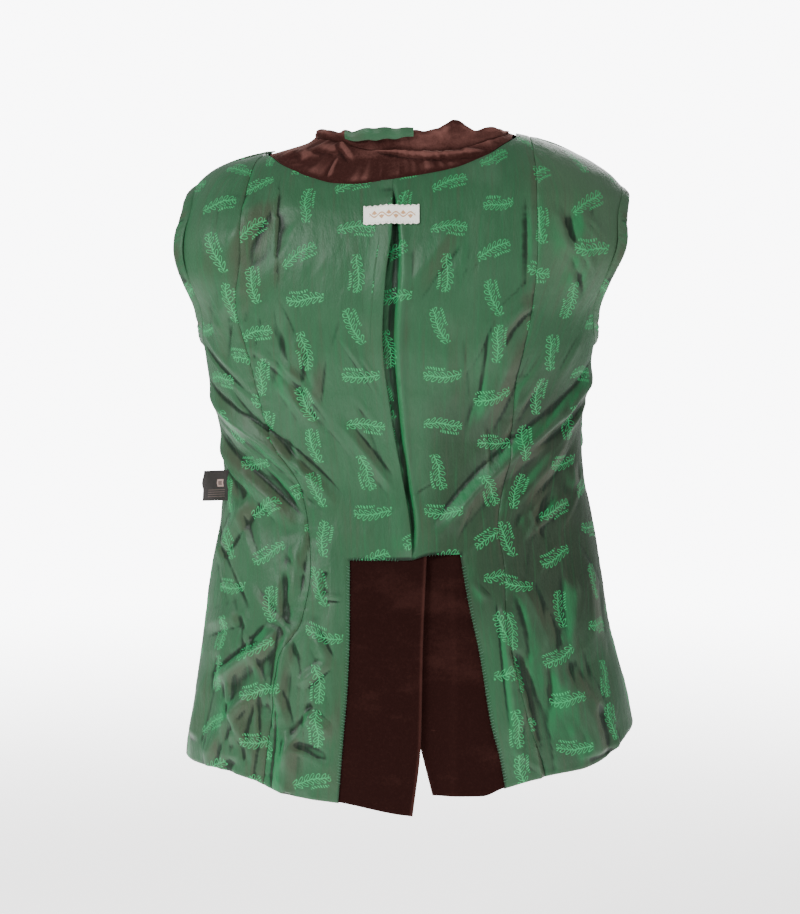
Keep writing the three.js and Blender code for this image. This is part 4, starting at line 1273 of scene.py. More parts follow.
class Bench:
    """Builds one material's nodes."""

    def __init__(self, name: str) -> None:
        """Starts an empty material.

        Args:
            name: The material's name.
        """
        self.material = bpy.data.materials.new(name)
        self.material.use_nodes = True
        self.tree = self.material.node_tree
        self.tree.nodes.clear()

    def node(self, kind: str, settings: Optional[dict] = None, output: Union[int, str] = 0,
             **sockets: object) -> Wire:
        """Adds a node.

        Args:
            kind: The node's type.
            settings: What is set on the node itself, before its sockets.
            output: The output to wrap.
            **sockets: The values or links of its inputs, by name.

        Returns:
            The chosen output.
        """
        made = self.tree.nodes.new(kind)
        for key, value in (settings or {}).items():
            if key == "stops":
                self.set_stops(made.color_ramp, value)
            else:
                setattr(made, key, value)
        for key, value in sockets.items():
            self.feed(made.inputs[int(key[1:])] if key[0] == "_" else made.inputs[key], value)
        return Wire(self, made.outputs[output])

    @staticmethod
    def set_stops(ramp: bpy.types.ColorRamp, stops: Sequence[tuple[float, Color]]) -> None:
        """Sets a ramp's stops.

        Args:
            ramp: The ramp.
            stops: Each place and its colour.
        """
        while len(ramp.elements) < len(stops):
            ramp.elements.new(0.5)
        for element, (position, color) in zip(ramp.elements, stops):
            element.position = position
            element.color = (*color, 1)

    def feed(self, socket: bpy.types.NodeSocket, value: object) -> None:
        """Links or sets an input.

        Args:
            socket: The input.
            value: A wire, or the value to set.
        """
        if isinstance(value, Wire):
            self.tree.links.new(value.socket, socket)
        elif isinstance(value, tuple) and len(value) == 3 and socket.type == "RGBA":
            socket.default_value = (*value, 1)
        else:
            socket.default_value = value

    def math(self, operation: str, *values: Value) -> Wire:
        """Adds a Math node."""
        return self.node("ShaderNodeMath", {"operation": operation},
                         **{f"_{i}": v for i, v in enumerate(values)})

    def blend(self, share: Value, a: object, b: object, how: str = "MIX") -> Wire:
        """Mixes two colours."""
        settings = {"data_type": "RGBA", "blend_type": how, "clamp_factor": True}
        return self.node("ShaderNodeMix", settings, 2, _0=share, _6=a, _7=b)

    def attribute(self, name: str) -> Wire:
        """Reads one of a piece's own attributes."""
        return self.node("ShaderNodeAttribute", {"attribute_name": name}, "Fac")

    def cut_place(self) -> Wire:
        """The place on the cut cloth, in metres."""
        return self.node("ShaderNodeUVMap", {"uv_map": "cut"})

    def object_place(self) -> Wire:
        """The place in the part's frame, in metres."""
        return self.node("ShaderNodeTexCoord", None, "Object")

    def parts(self, vector: Wire) -> tuple[Wire, Wire, Wire]:
        """Splits a vector.

        Args:
            vector: The vector.

        Returns:
            Its x, y and z.
        """
        first = self.node("ShaderNodeSeparateXYZ", Vector=vector)
        outputs = first.socket.node.outputs
        return first, Wire(self, outputs[1]), Wire(self, outputs[2])

    def joined(self, x: Value, y: Value, z: Value = 0.0) -> Wire:
        """Makes a vector of three numbers."""
        return self.node("ShaderNodeCombineXYZ", X=x, Y=y, Z=z)

    def noise(self, vector: Wire, scale: float, detail: float = 2.0, roughness: float = 0.5) -> Wire:
        """Soft noise from 0 to 1."""
        return self.node("ShaderNodeTexNoise", Vector=vector, Scale=scale, Detail=detail, Roughness=roughness)

    def rib(self, vector: Wire, way: str, scale: float, **more: float) -> Wire:
        """Soft bands from 0 to 1, across the way that is named."""
        settings = {"wave_type": "BANDS", "bands_direction": way}
        return self.node("ShaderNodeTexWave", settings, "Fac", Vector=vector, Scale=scale, **more)

    def stretched(self, vector: Wire, scale: tuple[float, float, float], turn: float = 0.0) -> Wire:
        """A vector that is turned and scaled."""
        return self.node("ShaderNodeMapping", Vector=vector, Rotation=(0, 0, turn), Scale=scale)

    def bump(self, height: Wire, strength: float, distance: float, normal: Optional[Wire] = None) -> Wire:
        """Turns a height into a normal."""
        extra = {"Normal": normal} if normal else {}
        return self.node("ShaderNodeBump", Height=height, Strength=strength, Distance=distance, **extra)

    def finished(self, **sockets: object) -> bpy.types.Material:
        """Closes the material with one Principled shader.

        Args:
            **sockets: Its inputs, with an underscore for each space.

        Returns:
            The material.
        """
        named = {key.replace("_", " "): value for key, value in sockets.items()}
        surface = self.node("ShaderNodeBsdfPrincipled", **named)
        output = self.tree.nodes.new("ShaderNodeOutputMaterial")
        self.tree.links.new(surface.socket, output.inputs["Surface"])
        return self.material


@dataclass(frozen=True)
class ShotSatin:
    """Green satin woven across with brown, with a woven sprig; its folds and sides carry painted light and
    shade.
    """

    name: str = "shot_satin"
    green: Color = (0.023, 0.080, 0.036)
    # Two of these tones also paint each fold's sides: the brighter green as though lit, the brown as shade.
    # The pale tone also paints highlights on crests, and the shade, shoulder and deep tones are painted shade
    # and light.
    bright_streak_and_highlight: Color = (0.010, 0.135, 0.045)
    brown: Color = (0.045, 0.050, 0.031)
    pale: Color = (0.044, 0.104, 0.056)
    shade: Color = (0.015, 0.030, 0.015)
    painted_shoulder_light: Color = (0.070, 0.098, 0.062)
    deep: Color = (0.003, 0.011, 0.005)
    sprig: Color = (0.026, 0.370, 0.120)
    lattice: tuple[float, float] = (55, 51)

    def sprig_mask(self, bench: Bench, place: Wire) -> Wire:
        """Draws feathery sprigs on a half-drop lattice, each turned its own way.

        Args:
            bench: The material's bench.
            place: The place on the cut cloth, in metres.

        Returns:
            1 on the sprigs' threads.
        """
        u, v, _ = bench.parts(place)
        wide, tall = self.lattice
        u = u / (wide * MM)
        column = u.floor()
        v = v / (tall * MM) + column * 0.5
        row = v.floor()
        chance = bench.node("ShaderNodeTexWhiteNoise", {"noise_dimensions": "2D"}, "Color",
                            Vector=bench.joined(column, row))
        first, second, third = bench.parts(chance)
        wobble = bench.noise(place, 170, 1) - 0.5
        x = (u - column - 0.5) * wide + (second - 0.5) * 9 + wobble * 3
        y = (v - row - 0.5) * tall + (third - 0.5) * 9 + wobble * 2
        quarter = (first * 4).floor() * (math.pi / 2) + (second - 0.5) * 0.7 + 0.2
        sine, cosine = quarter.sine(), quarter.cosine()
        p = x * cosine + y * sine
        q = y * cosine - x * sine - (p * 0.16 + third * 3).sine() * 1.3
        side = (q > 0) * 2 - 1
        away = abs(q)
        taper = 1.1 - p * p / 900
        along = (p + side * 1.6) / 6.4
        local = (along - along.floor() - 0.5) * 6.4 - (away - 2.6) * 0.85
        leaf = (((away / taper - 2.9) / 2.9) ** 2 + (local / 1.9) ** 2) ** 0.5
        outline = abs(leaf - 0.95).step(0.30, 0.12)
        inside = abs(p).step(20.5, 19.0)
        stem = away.step(0.62, 0.25) * 0.9
        twig_p, twig_q = p - 7, q + 8.6
        dash = twig_p / 2.8 - (twig_p / 2.8).floor() - 0.5 + twig_q * 0.16
        twig = abs(twig_q).step(1.7, 1.1) * abs(twig_p).step(10.0, 9.3) * abs(dash).step(0.32, 0.14)
        drawn = bench.math("MAXIMUM", outline * away.step(6.4, 5.6), stem) * inside
        return bench.math("MAXIMUM", drawn, twig)

    def material(self) -> bpy.types.Material:
        """Builds the satin.

        Returns:
            The material.
        """
        bench = Bench(self.name)
        place = bench.cut_place()
        fold = bench.attribute("fold")
        shot = bench.attribute("shot")
        cloud = bench.noise(place, 11, 2)
        streak = bench.noise(bench.stretched(place, (240, 10, 1)), 1.0, 3)
        facet = bench.noise(bench.stretched(place, (26, 12, 1), 0.6), 1.0, 3, 0.55)
        drift = (cloud - 0.5) * 2.2 + (facet - 0.5) * 1.6
        color = bench.blend((drift * -1 + 0.1).step(0.0, 0.9) * 0.8, self.green, self.pale)
        x, _, z = bench.parts(bench.object_place())
        # Painted shade: the right side and the middle of the right back are darkened by place, as though the
        # light falls from the left.
        edge = x.step(0.06, 0.2) * z.step(-0.1, -0.28) * 0.5
        hollow = x.step(0.012, 0.05) * z.step(-0.22, -0.31) * z.step(-0.56, -0.44) * 0.75
        color = bench.blend(edge + hollow, color, self.shade)
        # Painted light: the top of the right shoulder is made paler by place.
        color = bench.blend(x.step(0.11, 0.18) * z.step(-0.2, -0.1) * 0.4, color, self.painted_shoulder_light)
        # The satin's play of colour, painted by the way each fold faces: sides facing left are painted
        # brighter green as though lit, sides facing right browner as shade.
        color = bench.blend((shot * -1.0 + drift * 0.5 + 0.05).step(0.1, 1.0) * 0.7, color, self.brown)
        color = bench.blend((shot * 1.1 + drift * 0.5).step(0.3, 1.1) * 0.75, color, self.bright_streak_and_highlight)
        # Painted shade deep in the creases, and a painted highlight along the crests.
        color = bench.blend(fold.step(-0.12, -0.8) * 0.92, color, self.deep)
        color = bench.blend(fold.step(0.25, 1.0) * 0.3, color, self.pale)
        # Fine streaks of the weave, browner and brighter.
        color = bench.blend((streak - 0.5).step(0.0, 0.3) * 0.35, color, self.brown)
        color = bench.blend((0.5 - streak).step(0.02, 0.3) * 0.3, color, self.bright_streak_and_highlight)
        thread = bench.rib(place, "DIAGONAL", 420, Distortion=1.5, Detail=1.0)
        mask = self.sprig_mask(bench, place)
        color = bench.blend(mask * (0.5 + thread * 0.4), color, self.sprig)
        crinkle = bench.noise(bench.stretched(place, (95, 38, 1), 0.5), 1.0, 4, 0.62)
        weave = bench.rib(place, "X", 620, Distortion=0.6)
        height = crinkle + facet * 1.6 + weave * 0.02 + mask * 0.05
        normal = bench.bump(height, 0.6, 0.002)
        return bench.finished(
            Base_Color=color, Roughness=0.42 + mask * 0.10 + (cloud - 0.5) * 0.12, Normal=normal,
            Specular_IOR_Level=0.2, Sheen_Weight=0.05, Sheen_Roughness=0.4, Sheen_Tint=(0.55, 0.75, 0.6),
            Anisotropic=0.35,
        )


@dataclass(frozen=True)
class Velvet:
    """Dark brown velvet, lighter where brushing has laid its pile, with painted highlights on its ridges and
    painted shade in its creases.
    """

    name: str = "brown_velvet"
    pile: Color = (0.0125, 0.0033, 0.0026)
    # The lighter tone serves both the brushing of the pile and painted highlights on ridges; the deep tone is
    # painted shade in creases.
    brushed_and_highlight: Color = (0.050, 0.0175, 0.0140)
    deep: Color = (0.0022, 0.0008, 0.0007)
    sheen: float = 0.16
    rubbed: float = 0.3

    def material(self) -> bpy.types.Material:
        """Builds the velvet.

        Returns:
            The material.
        """
        bench = Bench(self.name)
        place = bench.object_place()
        fold = bench.attribute("fold")
        drift = bench.noise(bench.stretched(place, (9, 9, 22)), 1.0, 4, 0.6)
        nap = bench.noise(place, 900, 2, 0.7)
        rub = (drift - 0.47).step(0.0, 0.25)
        speckle = bench.noise(place, 330, 2, 0.6)
        color = bench.blend(rub * self.rubbed + (nap - 0.5) * 0.5 + (speckle - 0.5) * 0.35, self.pile,
                            self.brushed_and_highlight)
        # Painted highlights along the ridges of its folds, with whatever brushing and highlight a panel adds.
        color = bench.blend(fold.step(0.05, 0.8) * (0.35 + speckle * 0.5 + rub * 0.3), color, self.brushed_and_highlight)
        lint = bench.noise(bench.stretched(place, (60, 60, 260), 0.7), 1.0, 1)
        color = bench.blend(lint.step(0.76, 0.8) * 0.35, color, self.brushed_and_highlight)
        # Painted shade in the creases.
        color = bench.blend(fold.step(-0.1, -0.9) * 0.7, color, self.deep)
        soft = bench.noise(place, 46, 3)
        normal = bench.bump(soft + nap * 0.22, 0.5, 0.0012)
        return bench.finished(
            Base_Color=color, Roughness=0.88 + (nap - 0.5) * 0.1, Normal=normal, Specular_IOR_Level=0.05,
            Sheen_Weight=self.sheen, Sheen_Roughness=0.3, Sheen_Tint=(0.60, 0.34, 0.29),
        )


@dataclass(frozen=True)
class WovenLabel:
    """Ivory woven cloth with a small tan ornament."""

    name: str = "woven_label"
    ground: Color = (0.97, 0.94, 0.86)
    gold: Color = (0.50, 0.22, 0.06)

    def material(self) -> bpy.types.Material:
        """Builds the label's cloth: a running vine of lozenges, with a thin frame.

        Returns:
            The material.
        """
        bench = Bench(self.name)
        place = bench.cut_place()
        u, v, _ = bench.parts(place)
        p, q = u / MM, v / MM
        wave = (p * 0.42).sine() * 2.4
        vine = abs(q - wave).step(1.0, 0.6)
        bead_p = (p / 7.48 - (p / 7.48).floor() - 0.5) * 7.48
        lozenge = (abs(bead_p) * 0.8 + abs(q + wave * 0.9)).step(2.7, 2.2)
        inside = abs(p).step(24.5, 23.5)
        mask = bench.math("MAXIMUM", vine, lozenge) * inside
        rib = bench.rib(place, "X", 700, Distortion=0.3)
        stain = bench.noise(place, 60, 3)
        color = bench.blend(mask * (0.8 + rib * 0.2), self.ground, self.gold)
        color = bench.blend((stain - 0.5).step(0.0, 0.5) * 0.25, color, (0.62, 0.55, 0.44))
        normal = bench.bump(rib * 0.5 + mask * 0.7, 0.35, 0.0003)
        return bench.finished(Base_Color=color, Roughness=0.62, Normal=normal, Sheen_Weight=0.2)


@dataclass(frozen=True)
class CareRibbon:
    """Black care ribbon, printed with a plain square and short lines."""

    name: str = "care_ribbon"
    ground: Color = (0.020, 0.015, 0.014)
    print: Color = (0.45, 0.30, 0.27)

    def material(self) -> bpy.types.Material:
        """Builds the ribbon.

        Returns:
            The material.
        """
        bench = Bench(self.name)
        place = bench.cut_place()
        u, v, _ = bench.parts(place)
        p, q = abs(u / MM - 5.5), abs(v / MM - 3.0)
        square = p.step(3.6, 3.3) * q.step(4.2, 3.9)
        window = p.step(2.2, 1.9) * q.step(2.6, 2.3)
        line_row = (v / MM + 10.5) / 2.4
        dots = abs(line_row - line_row.floor() - 0.5).step(0.22, 0.1) * ((v / MM) < -3.5) * ((v / MM) > -13)
        rib = bench.rib(place, "Y", 520, Distortion=0.2)
        mark = square * (1 - window * 0.7) + dots * abs(u / MM).step(10, 9) * 0.22
        color = bench.blend(mark, self.ground, self.print)
        normal = bench.bump(rib + bench.noise(place, 90, 3) * 3, 0.3, 0.0003)
        return bench.finished(Base_Color=color, Roughness=0.55, Normal=normal, Sheen_Weight=0.15)


@dataclass(frozen=True)
class Horn:
    """Polished dark horn with paler clouds."""

    name: str = "dark_horn"
    dark: Color = (0.020, 0.010, 0.007)
    pale: Color = (0.120, 0.062, 0.036)

    def material(self) -> bpy.types.Material:
        """Builds the horn.

        Returns:
            The material.
        """
        bench = Bench(self.name)
        place = bench.object_place()
        streak = bench.noise(bench.stretched(place, (60, 60, 190), 0.4), 1.0, 4, 0.6)
        color = bench.blend((streak - 0.45).step(0.0, 0.35), self.dark, self.pale)
        normal = bench.bump(bench.noise(place, 700, 2), 0.12, 0.0002)
        return bench.finished(Base_Color=color, Roughness=0.26 + streak * 0.12, Normal=normal,
                              Coat_Weight=0.3, Coat_Roughness=0.15)


@dataclass(frozen=True)
class Thread:
    """Twisted sewing thread."""

    name: str
    color: Color

    def material(self) -> bpy.types.Material:
        """Builds the thread.

        Returns:
            The material.
        """
        bench = Bench(self.name)
        place = bench.object_place()
        ply = bench.rib(place, "DIAGONAL", 900)
        shade = tuple(0.55 * part for part in self.color)
        color = bench.blend(ply * 0.7, self.color, shade)
        return bench.finished(Base_Color=color, Roughness=0.55, Sheen_Weight=0.3,
                              Normal=bench.bump(ply, 0.4, 0.0002))


# A lighter copy of the velvet for the neck facing and the collar: partly more brushing of its pile, partly
# painted light, as though lit from above.
LIT_NECK_VELVET = Velvet(
    "lit_neck_velvet", (0.0290, 0.0095, 0.0078), (0.150, 0.062, 0.052), sheen=0.7, rubbed=0.5
)


@dataclass
class Wardrobe:
    """The finishes, built once."""

    satin: bpy.types.Material = field(default_factory=ShotSatin().material)
    velvet: bpy.types.Material = field(default_factory=Velvet().material)
    # The neck and collar's velvet: a lighter copy, partly painted light.
    bunched: bpy.types.Material = field(default_factory=LIT_NECK_VELVET.material)
    label: bpy.types.Material = field(default_factory=WovenLabel().material)
    ribbon: bpy.types.Material = field(default_factory=CareRibbon().material)
    horn: bpy.types.Material = field(default_factory=Horn().material)
    green_thread: bpy.types.Material = field(
        default_factory=Thread("green_thread", (0.020, 0.130, 0.055)).material
    )
    brown_thread: bpy.types.Material = field(
        default_factory=Thread("brown_thread", (0.016, 0.0075, 0.006)).material
    )
    ivory_thread: bpy.types.Material = field(
        default_factory=Thread("ivory_thread", (0.72, 0.68, 0.58)).material
    )


def dressed(piece: bpy.types.Object, material: bpy.types.Material, slot: str,
            *nodes: str) -> bpy.types.Object:
    """Gives a piece its finish and its body, and hides the solids that it stands for.

    Args:
        piece: The piece.
        material: Its finish.
        slot: Not used.
        *nodes: The solids that it stands for.

    Returns:
        The same piece.
    """
    piece.data.materials.clear()
    piece.data.materials.append(material)
    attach(piece, "root")
    if nodes:
        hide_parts(*nodes)
    log.info("%s: %d faces", piece.name, len(piece.data.polygons))
    return piece


def declared(
    piece: bpy.types.Object, cloth: Cloth
) -> None:
    """Logs the flat size that a piece of cloth is cut to, and its area.

    Args:
        piece: The piece.
        cloth: The cloth that it was made from.
    """
    flat, area = cloth.flat_size()
    log.info("%s: cut %.3f x %.3f m, %.4f m2", piece.name, *flat, area)


@dataclass
class Lining:
    """The satin lining: two backs with a pleat, two side backs and two fronts."""

    finish: bpy.types.Material
    gap: float = Cut.GAP
    hem_roll: tuple = ((0.9, 0.5), (1.7, 1.8), (1.9, 3.2), (1.0, 4.4), (-2.0, 5.0), (-6.0, 5.2))
    seam_roll: tuple = ((0.15, 0.3), (0.35, 0.9), (1.2, 1.5), (2.6, 1.8))
    pleat_roll: tuple = ((0.4, 0.25), (0.75, 0.8), (0.6, 1.4), (0.0, 1.75), (-4.0, 1.9), (-12.0, 2.0))

    def finished(
        self, grid: Grid, name: str, node: str, rests: str, grain: float, shift: tuple[float, float],
        bored: bool
    ) -> None:
        """Rolls the hem under, makes the panel and dresses it.

        Args:
            grid: The panel's grid.
            name: The piece's name.
            node: The solid that it stands for.
            rests: Not used.
            grain: How far the cut is turned on the cloth, in degrees.
            shift: How far the cut is moved on the cloth.
            bored: Whether the armhole is cut out of it.
        """
        relief = grid.lift
        grid = grid.turned(Border.FOOT, self.hem_roll)
        cloth = Cloth.on_form(grid, Drape.WALL)
        padded = np.pad(relief, [(0, grid.lift.shape[0] - relief.shape[0]),
                                 (0, grid.lift.shape[1] - relief.shape[1])], mode="edge")
        # The relief paints shade in the creases, highlights on the crests, and lit and shaded fold sides.
        cloth.shaded(padded)
        if bored:
            cloth.cut_armhole()
        piece = dressed(cloth.made(name, grain, shift), self.finish, "lining", node)
        declared(piece, cloth)

    @staticmethod
    def seam_dip(side: Side, turn: np.ndarray, height: np.ndarray, lines: Sequence[Line]) -> np.ndarray:
        """How far the cloth is drawn in along its seams, with small puckers.

        Args:
            side: Which side.
            turn: The turns round the form, in radians.
            height: The heights.
            lines: Its seams.

        Returns:
            The depth at each place.
        """
        dip = np.zeros_like(turn)
        for line in lines:
            away = np.abs(turn - line(height)) * FORM.girth_radius(turn, height)
            pucker = DRAPE.fine.ridged(height / 6.5, turn * 0 + 3.3 + side.value)
            dip = dip + 0.8 * np.exp(-((away / 1.8) ** 2)) - 0.5 * pucker * np.exp(-away / 9)
        return dip

    def back(self, side: Side) -> None:
        """One back: the left one carries the pleat's fold, and the right one lies under it.

        Args:
            side: Which side.
        """
        left = side is Side.LEFT
        felled = seam(Cut.FELLED[side])
        far = nudged(Cut.princess(side), -side.value * self.gap)

        def near(height: np.ndarray) -> np.ndarray:
            """The pleat's edge, or the edge that reaches beneath it."""
            under = 20 * ease((height + 425) / 60) * ease((-72 - height) / 30)
            return FORM.turn_at(Cut.PLEAT(height) - (0 if left else under), height)

        lines = [far, felled, near] if left else [near, felled, far]
        stops = [border(Cut.NECK_FACING), Cut.vent_top, border(Cut.HEM[side])]
        grid = Grid.laid(lines, stops, CELL, dropped=(1, 1 if left else 0))
        relief = DRAPE.left_back if left else DRAPE.right_back
        dip = self.seam_dip(side, grid.turn, grid.height, [Cut.princess(side)])
        lift = relief(grid.turn, grid.height) - dip
        grid.lift = Drape.LIFT + lift - DRAPE.felling(grid.turn, grid.height)
        name = f"satin_back_{side.word}"
        node = f"lining_back_{side.word}"
        if left:
            self.finished_with_pleat(grid, name, node)
        else:
            self.finished(grid, name, node, "shell_back_right", 2, (31, 12), False)

    def finished_with_pleat(self, grid: Grid, name: str, node: str) -> None:
        """Rolls the pleat's edge under before the panel is finished.

        Args:
            grid: The panel's grid.
            name: The piece's name.
            node: The solid that it stands for.
        """
        above = grid.height[:, -1] > Cut.VENT_TOP_LEFT
        rolled = grid.turned(Border.HIGH, self.pleat_roll)
        columns = grid.turn.shape[1]
        rolled.kept[:, columns - 1:] &= above[:-1, None]
        rolled.lift[:, columns:] = np.maximum(rolled.lift[:, columns:], 3.2)
        self.finished(rolled, name, node, "shell_back_left", -2, (0, 0), False)

    def side_back(self, side: Side) -> None:
        """One side back, bored for the armhole.

        Args:
            side: Which side.
        """
        near = nudged(Cut.princess(side), side.value * self.gap)
        lines = [near, Cut.side_seam(side)]
        top = 2 if side is Side.RIGHT else -1
        grid = Grid.laid(lines[::side.value], [level(top), border(Cut.HEM[side])], CELL)
        seams = [Cut.princess(side), Cut.side_seam(side)]
        dip = self.seam_dip(side, grid.turn, grid.height, seams)
        grid.lift = Drape.LIFT + DRAPE.relief(grid.turn, grid.height) - dip * ease((-12 - grid.height) / 14)
        grid = grid.turned(Border.LOW if side is Side.RIGHT else Border.HIGH, self.seam_roll)
        self.finished(grid, f"satin_side_{side.word}", f"lining_side_back_{side.word}",
                      f"shell_side_{side.word}", side.value * 9, (17, -20), True)

    def front(self, side: Side) -> None:
        """One front, from the side seam to the facing.

        Args:
            side: Which side.
        """
        lines = [Cut.side_seam(side), Cut.facing_edge(side)]

        def shoulder(turn: np.ndarray) -> np.ndarray:
            """The front's top edge, a little higher at the side seam."""
            return mix(2.4, -1, ease((np.abs(turn) - Cut.SIDE_TURN) / (12 * RADIANS)))

        grid = Grid.laid(lines[::side.value], [shoulder, border(Cut.HEM[side])], CELL)
        dip = self.seam_dip(side, grid.turn, grid.height, [Cut.side_seam(side)])
        dip = dip * ease((-12 - grid.height) / 14) + DRAPE.felling(grid.turn, grid.height)
        grid.lift = Drape.LIFT + DRAPE.relief(grid.turn, grid.height) - dip
        self.finished(grid, f"satin_front_{side.word}", f"lining_front_{side.word}",
                      f"shell_front_{side.word}", side.value * -3, (9, 31), True)

    def make(self) -> None:
        """Makes all six panels."""
        for side in Side:
            self.back(side)
            self.side_back(side)
            self.front(side)


@dataclass
class VelvetPanels:
    """The velvet shell and the facings that are felled to the lining."""

    finish: bpy.types.Material
    bunched: bpy.types.Material
    shell_lift: float = -0.2
    shell_wall: float = 2.0
    facing_lift: float = 2.5
    facing_wall: float = 1.8
    edge_roll: tuple = ((0.5, 0.3), (0.8, 0.9), (0.6, 1.6))
    neck_folds: tuple = (
        Fold(-44, 10, 108, -10, -8, 4.6, 5, 8, 0.25, 0.2), Fold(-63, 12, -48, -16, 0, 3.0, 4, 5, 0.2, 0.5),
        Fold(-66, -4, -78, -32, 0, 2.4, 3, 5, 0.4, 0.3), Fold(-97, 10, -108, -14, 0, -2.2, 4, 4, 0.3, 0.4),
        Fold(24, 9, 31, -7, 0, 2.6, 3, 3, 0.3, 0.3), Fold(127, 6, 56, 0, 4, 3.6, 6, 5, 0.2, 0.3),
        Fold(-122, 4, -80, -8, 0, 2.0, 5, 6, 0.3, 0.4), Fold(-20, 4, 92, -4, -6, -2.4, 4, 4, 0.3, 0.3),
        Fold(-90, 6, -60, -2, 0, 2.2, 4, 5, 0.3, 0.4), Fold(60, -8, 100, -14, 0, 1.4, 4, 5, 0.3, 0.4),
    )

    def soft(self, turn: np.ndarray, height: np.ndarray, strength: float = 0.5) -> np.ndarray:
        """The velvet's own slow waves."""
        return strength * (DRAPE.bend(turn * 4.1, height / 44) + DRAPE.broad(turn * 9, height / 90) - 1)

    def panel(
        self, grid: Grid, name: str, node: str, wall: float, bored: bool = False,
        finish: Optional[bpy.types.Material] = None, brush_and_highlight: Union[float, np.ndarray] = 0.0,
        bold: float = 0.35,
    ) -> None:
        """Makes a panel and dresses it, painted lighter where asked, for brushing of the pile and for painted
        highlights.

        Args:
            grid: The panel's grid.
            name: The piece's name.
            node: The solid that it stands for.
            wall: The cloth's thickness.
            bored: Whether the armhole is cut out of it.
            finish: Its velvet, or None for the shell's own.
            brush_and_highlight: How much lighter it is painted, for brushing of the pile and for painted
                highlights.
            bold: How strongly its folds are shaded.
        """
        cloth = Cloth.on_form(grid, wall).shaded(grid.lift, 3)
        # Painted shade and highlights on its folds, plus the brushing and highlights it is given.
        cloth.fold = np.clip(bold * cloth.fold + brush_and_highlight, -1, 1)
        if bored:
            cloth.cut_armhole(0.05)
        piece = dressed(cloth.made(name), finish or self.finish, "velvet", node)
        declared(piece, cloth)

    def shell(self, side: Side) -> None:
        """The three shell panels of a side.

        Args:
            side: Which side.
        """
        word = side.word
        seam_gap = side.value * 0.06

        def depth(height: np.ndarray) -> np.ndarray:
            """The shell's lift: a little deeper under the neck facing."""
            return self.shell_lift - 1.6 * ease((height + 12) / 12)

        def centre(height: np.ndarray) -> np.ndarray:
            """The centre-back seam, which parts into the vent's folds."""
            fold = seam(Cut.VENT_FOLD[side])(height)
            return mix(FORM.turn_at(3, height), fold, ease((-424 - height) / 7))

        def neck_top(turn: np.ndarray) -> np.ndarray:
            """The shell's top edge, just under the neck's."""
            return border(Cut.NECK)(turn) - 1

        hem = border(Cut.HEM[side])
        back = [nudged(centre, seam_gap), nudged(Cut.princess(side), -seam_gap)]
        grid = Grid.laid(back[::side.value], [neck_top, level(Cut.VENT_SINK_TOP), level(-424), hem],
                         2 * VELVET_CELL)
        grid.lift = depth(grid.height) - Cut.vent_sink(side, grid.turn, grid.height)
        self.panel(grid, f"velvet_back_{word}", f"shell_back_{word}", self.shell_wall)
        middle = [nudged(Cut.princess(side), seam_gap), nudged(Cut.side_seam(side), -seam_gap)]
        grid = Grid.laid(middle[::side.value], [level(-1), hem], 1.5 * VELVET_CELL)
        grid.lift = depth(grid.height) + self.soft(grid.turn, grid.height, 0.3) - 0.2
        self.panel(grid, f"velvet_side_{word}", f"shell_side_{word}", self.shell_wall,
                   True)
        front = [nudged(Cut.side_seam(side), seam_gap), Cut.front_edge(side)]
        stops = [level(Cut.ROLL_TOP), level(Cut.SINK_TOP), level(Cut.ROLL_END), hem]
        grid = Grid.laid(front[::side.value], stops, 1.5 * VELVET_CELL)
        grid.lift = depth(grid.height) - Cut.front_sink(side, grid.turn, grid.height)
        self.panel(grid, f"velvet_front_{word}", f"shell_front_{word}", self.shell_wall,
                   True)

    def neck_facing(self) -> None:
        """The facing round the back of the neck, bunched into soft ridges."""

        def foot(turn: np.ndarray) -> np.ndarray:
            """The facing's lower edge, which reaches under the lining but near its ends."""
            reach = mix(-1.2, Cut.LAP, ease((60 * RADIANS - np.abs(turn)) / (20 * RADIANS)))
            return border(Cut.NECK_FACING)(turn) - reach

        lines = [Cut.side_seam(side) for side in Side]
        grid = Grid.laid(lines, [border(Cut.NECK), foot], 2.0)
        folds = Creases.rise(self.neck_folds, False, grid.turn, grid.height)
        free = ease((grid.height - border(Cut.NECK_FACING)(grid.turn)) / 8)
        waves = self.soft(grid.turn * 2, grid.height * 2, 1.8)
        grid.lift = self.facing_lift + np.maximum(folds + waves + 0.4, -0.5) * free
        grid = grid.turned(Border.LOW, self.edge_roll).turned(Border.HIGH, self.edge_roll)
        free = ease((grid.height - border(Cut.NECK_FACING)(grid.turn)) / 8)
        mottle = 0.16 + 0.5 * (DRAPE.bend(grid.turn * 9, grid.height / 11) - 0.4)
        # Lighter in patches where brushing lays the pile, and painted lighter towards its upper edge, as
        # though lit from above.
        brush_and_highlight = (mottle + 0.4 * ease((grid.height - 2) / 14)) * free
        self.panel(grid, "velvet_neck_facing", "facing_neck_back", self.facing_wall,
                   finish=self.bunched, brush_and_highlight=brush_and_highlight, bold=1.0)

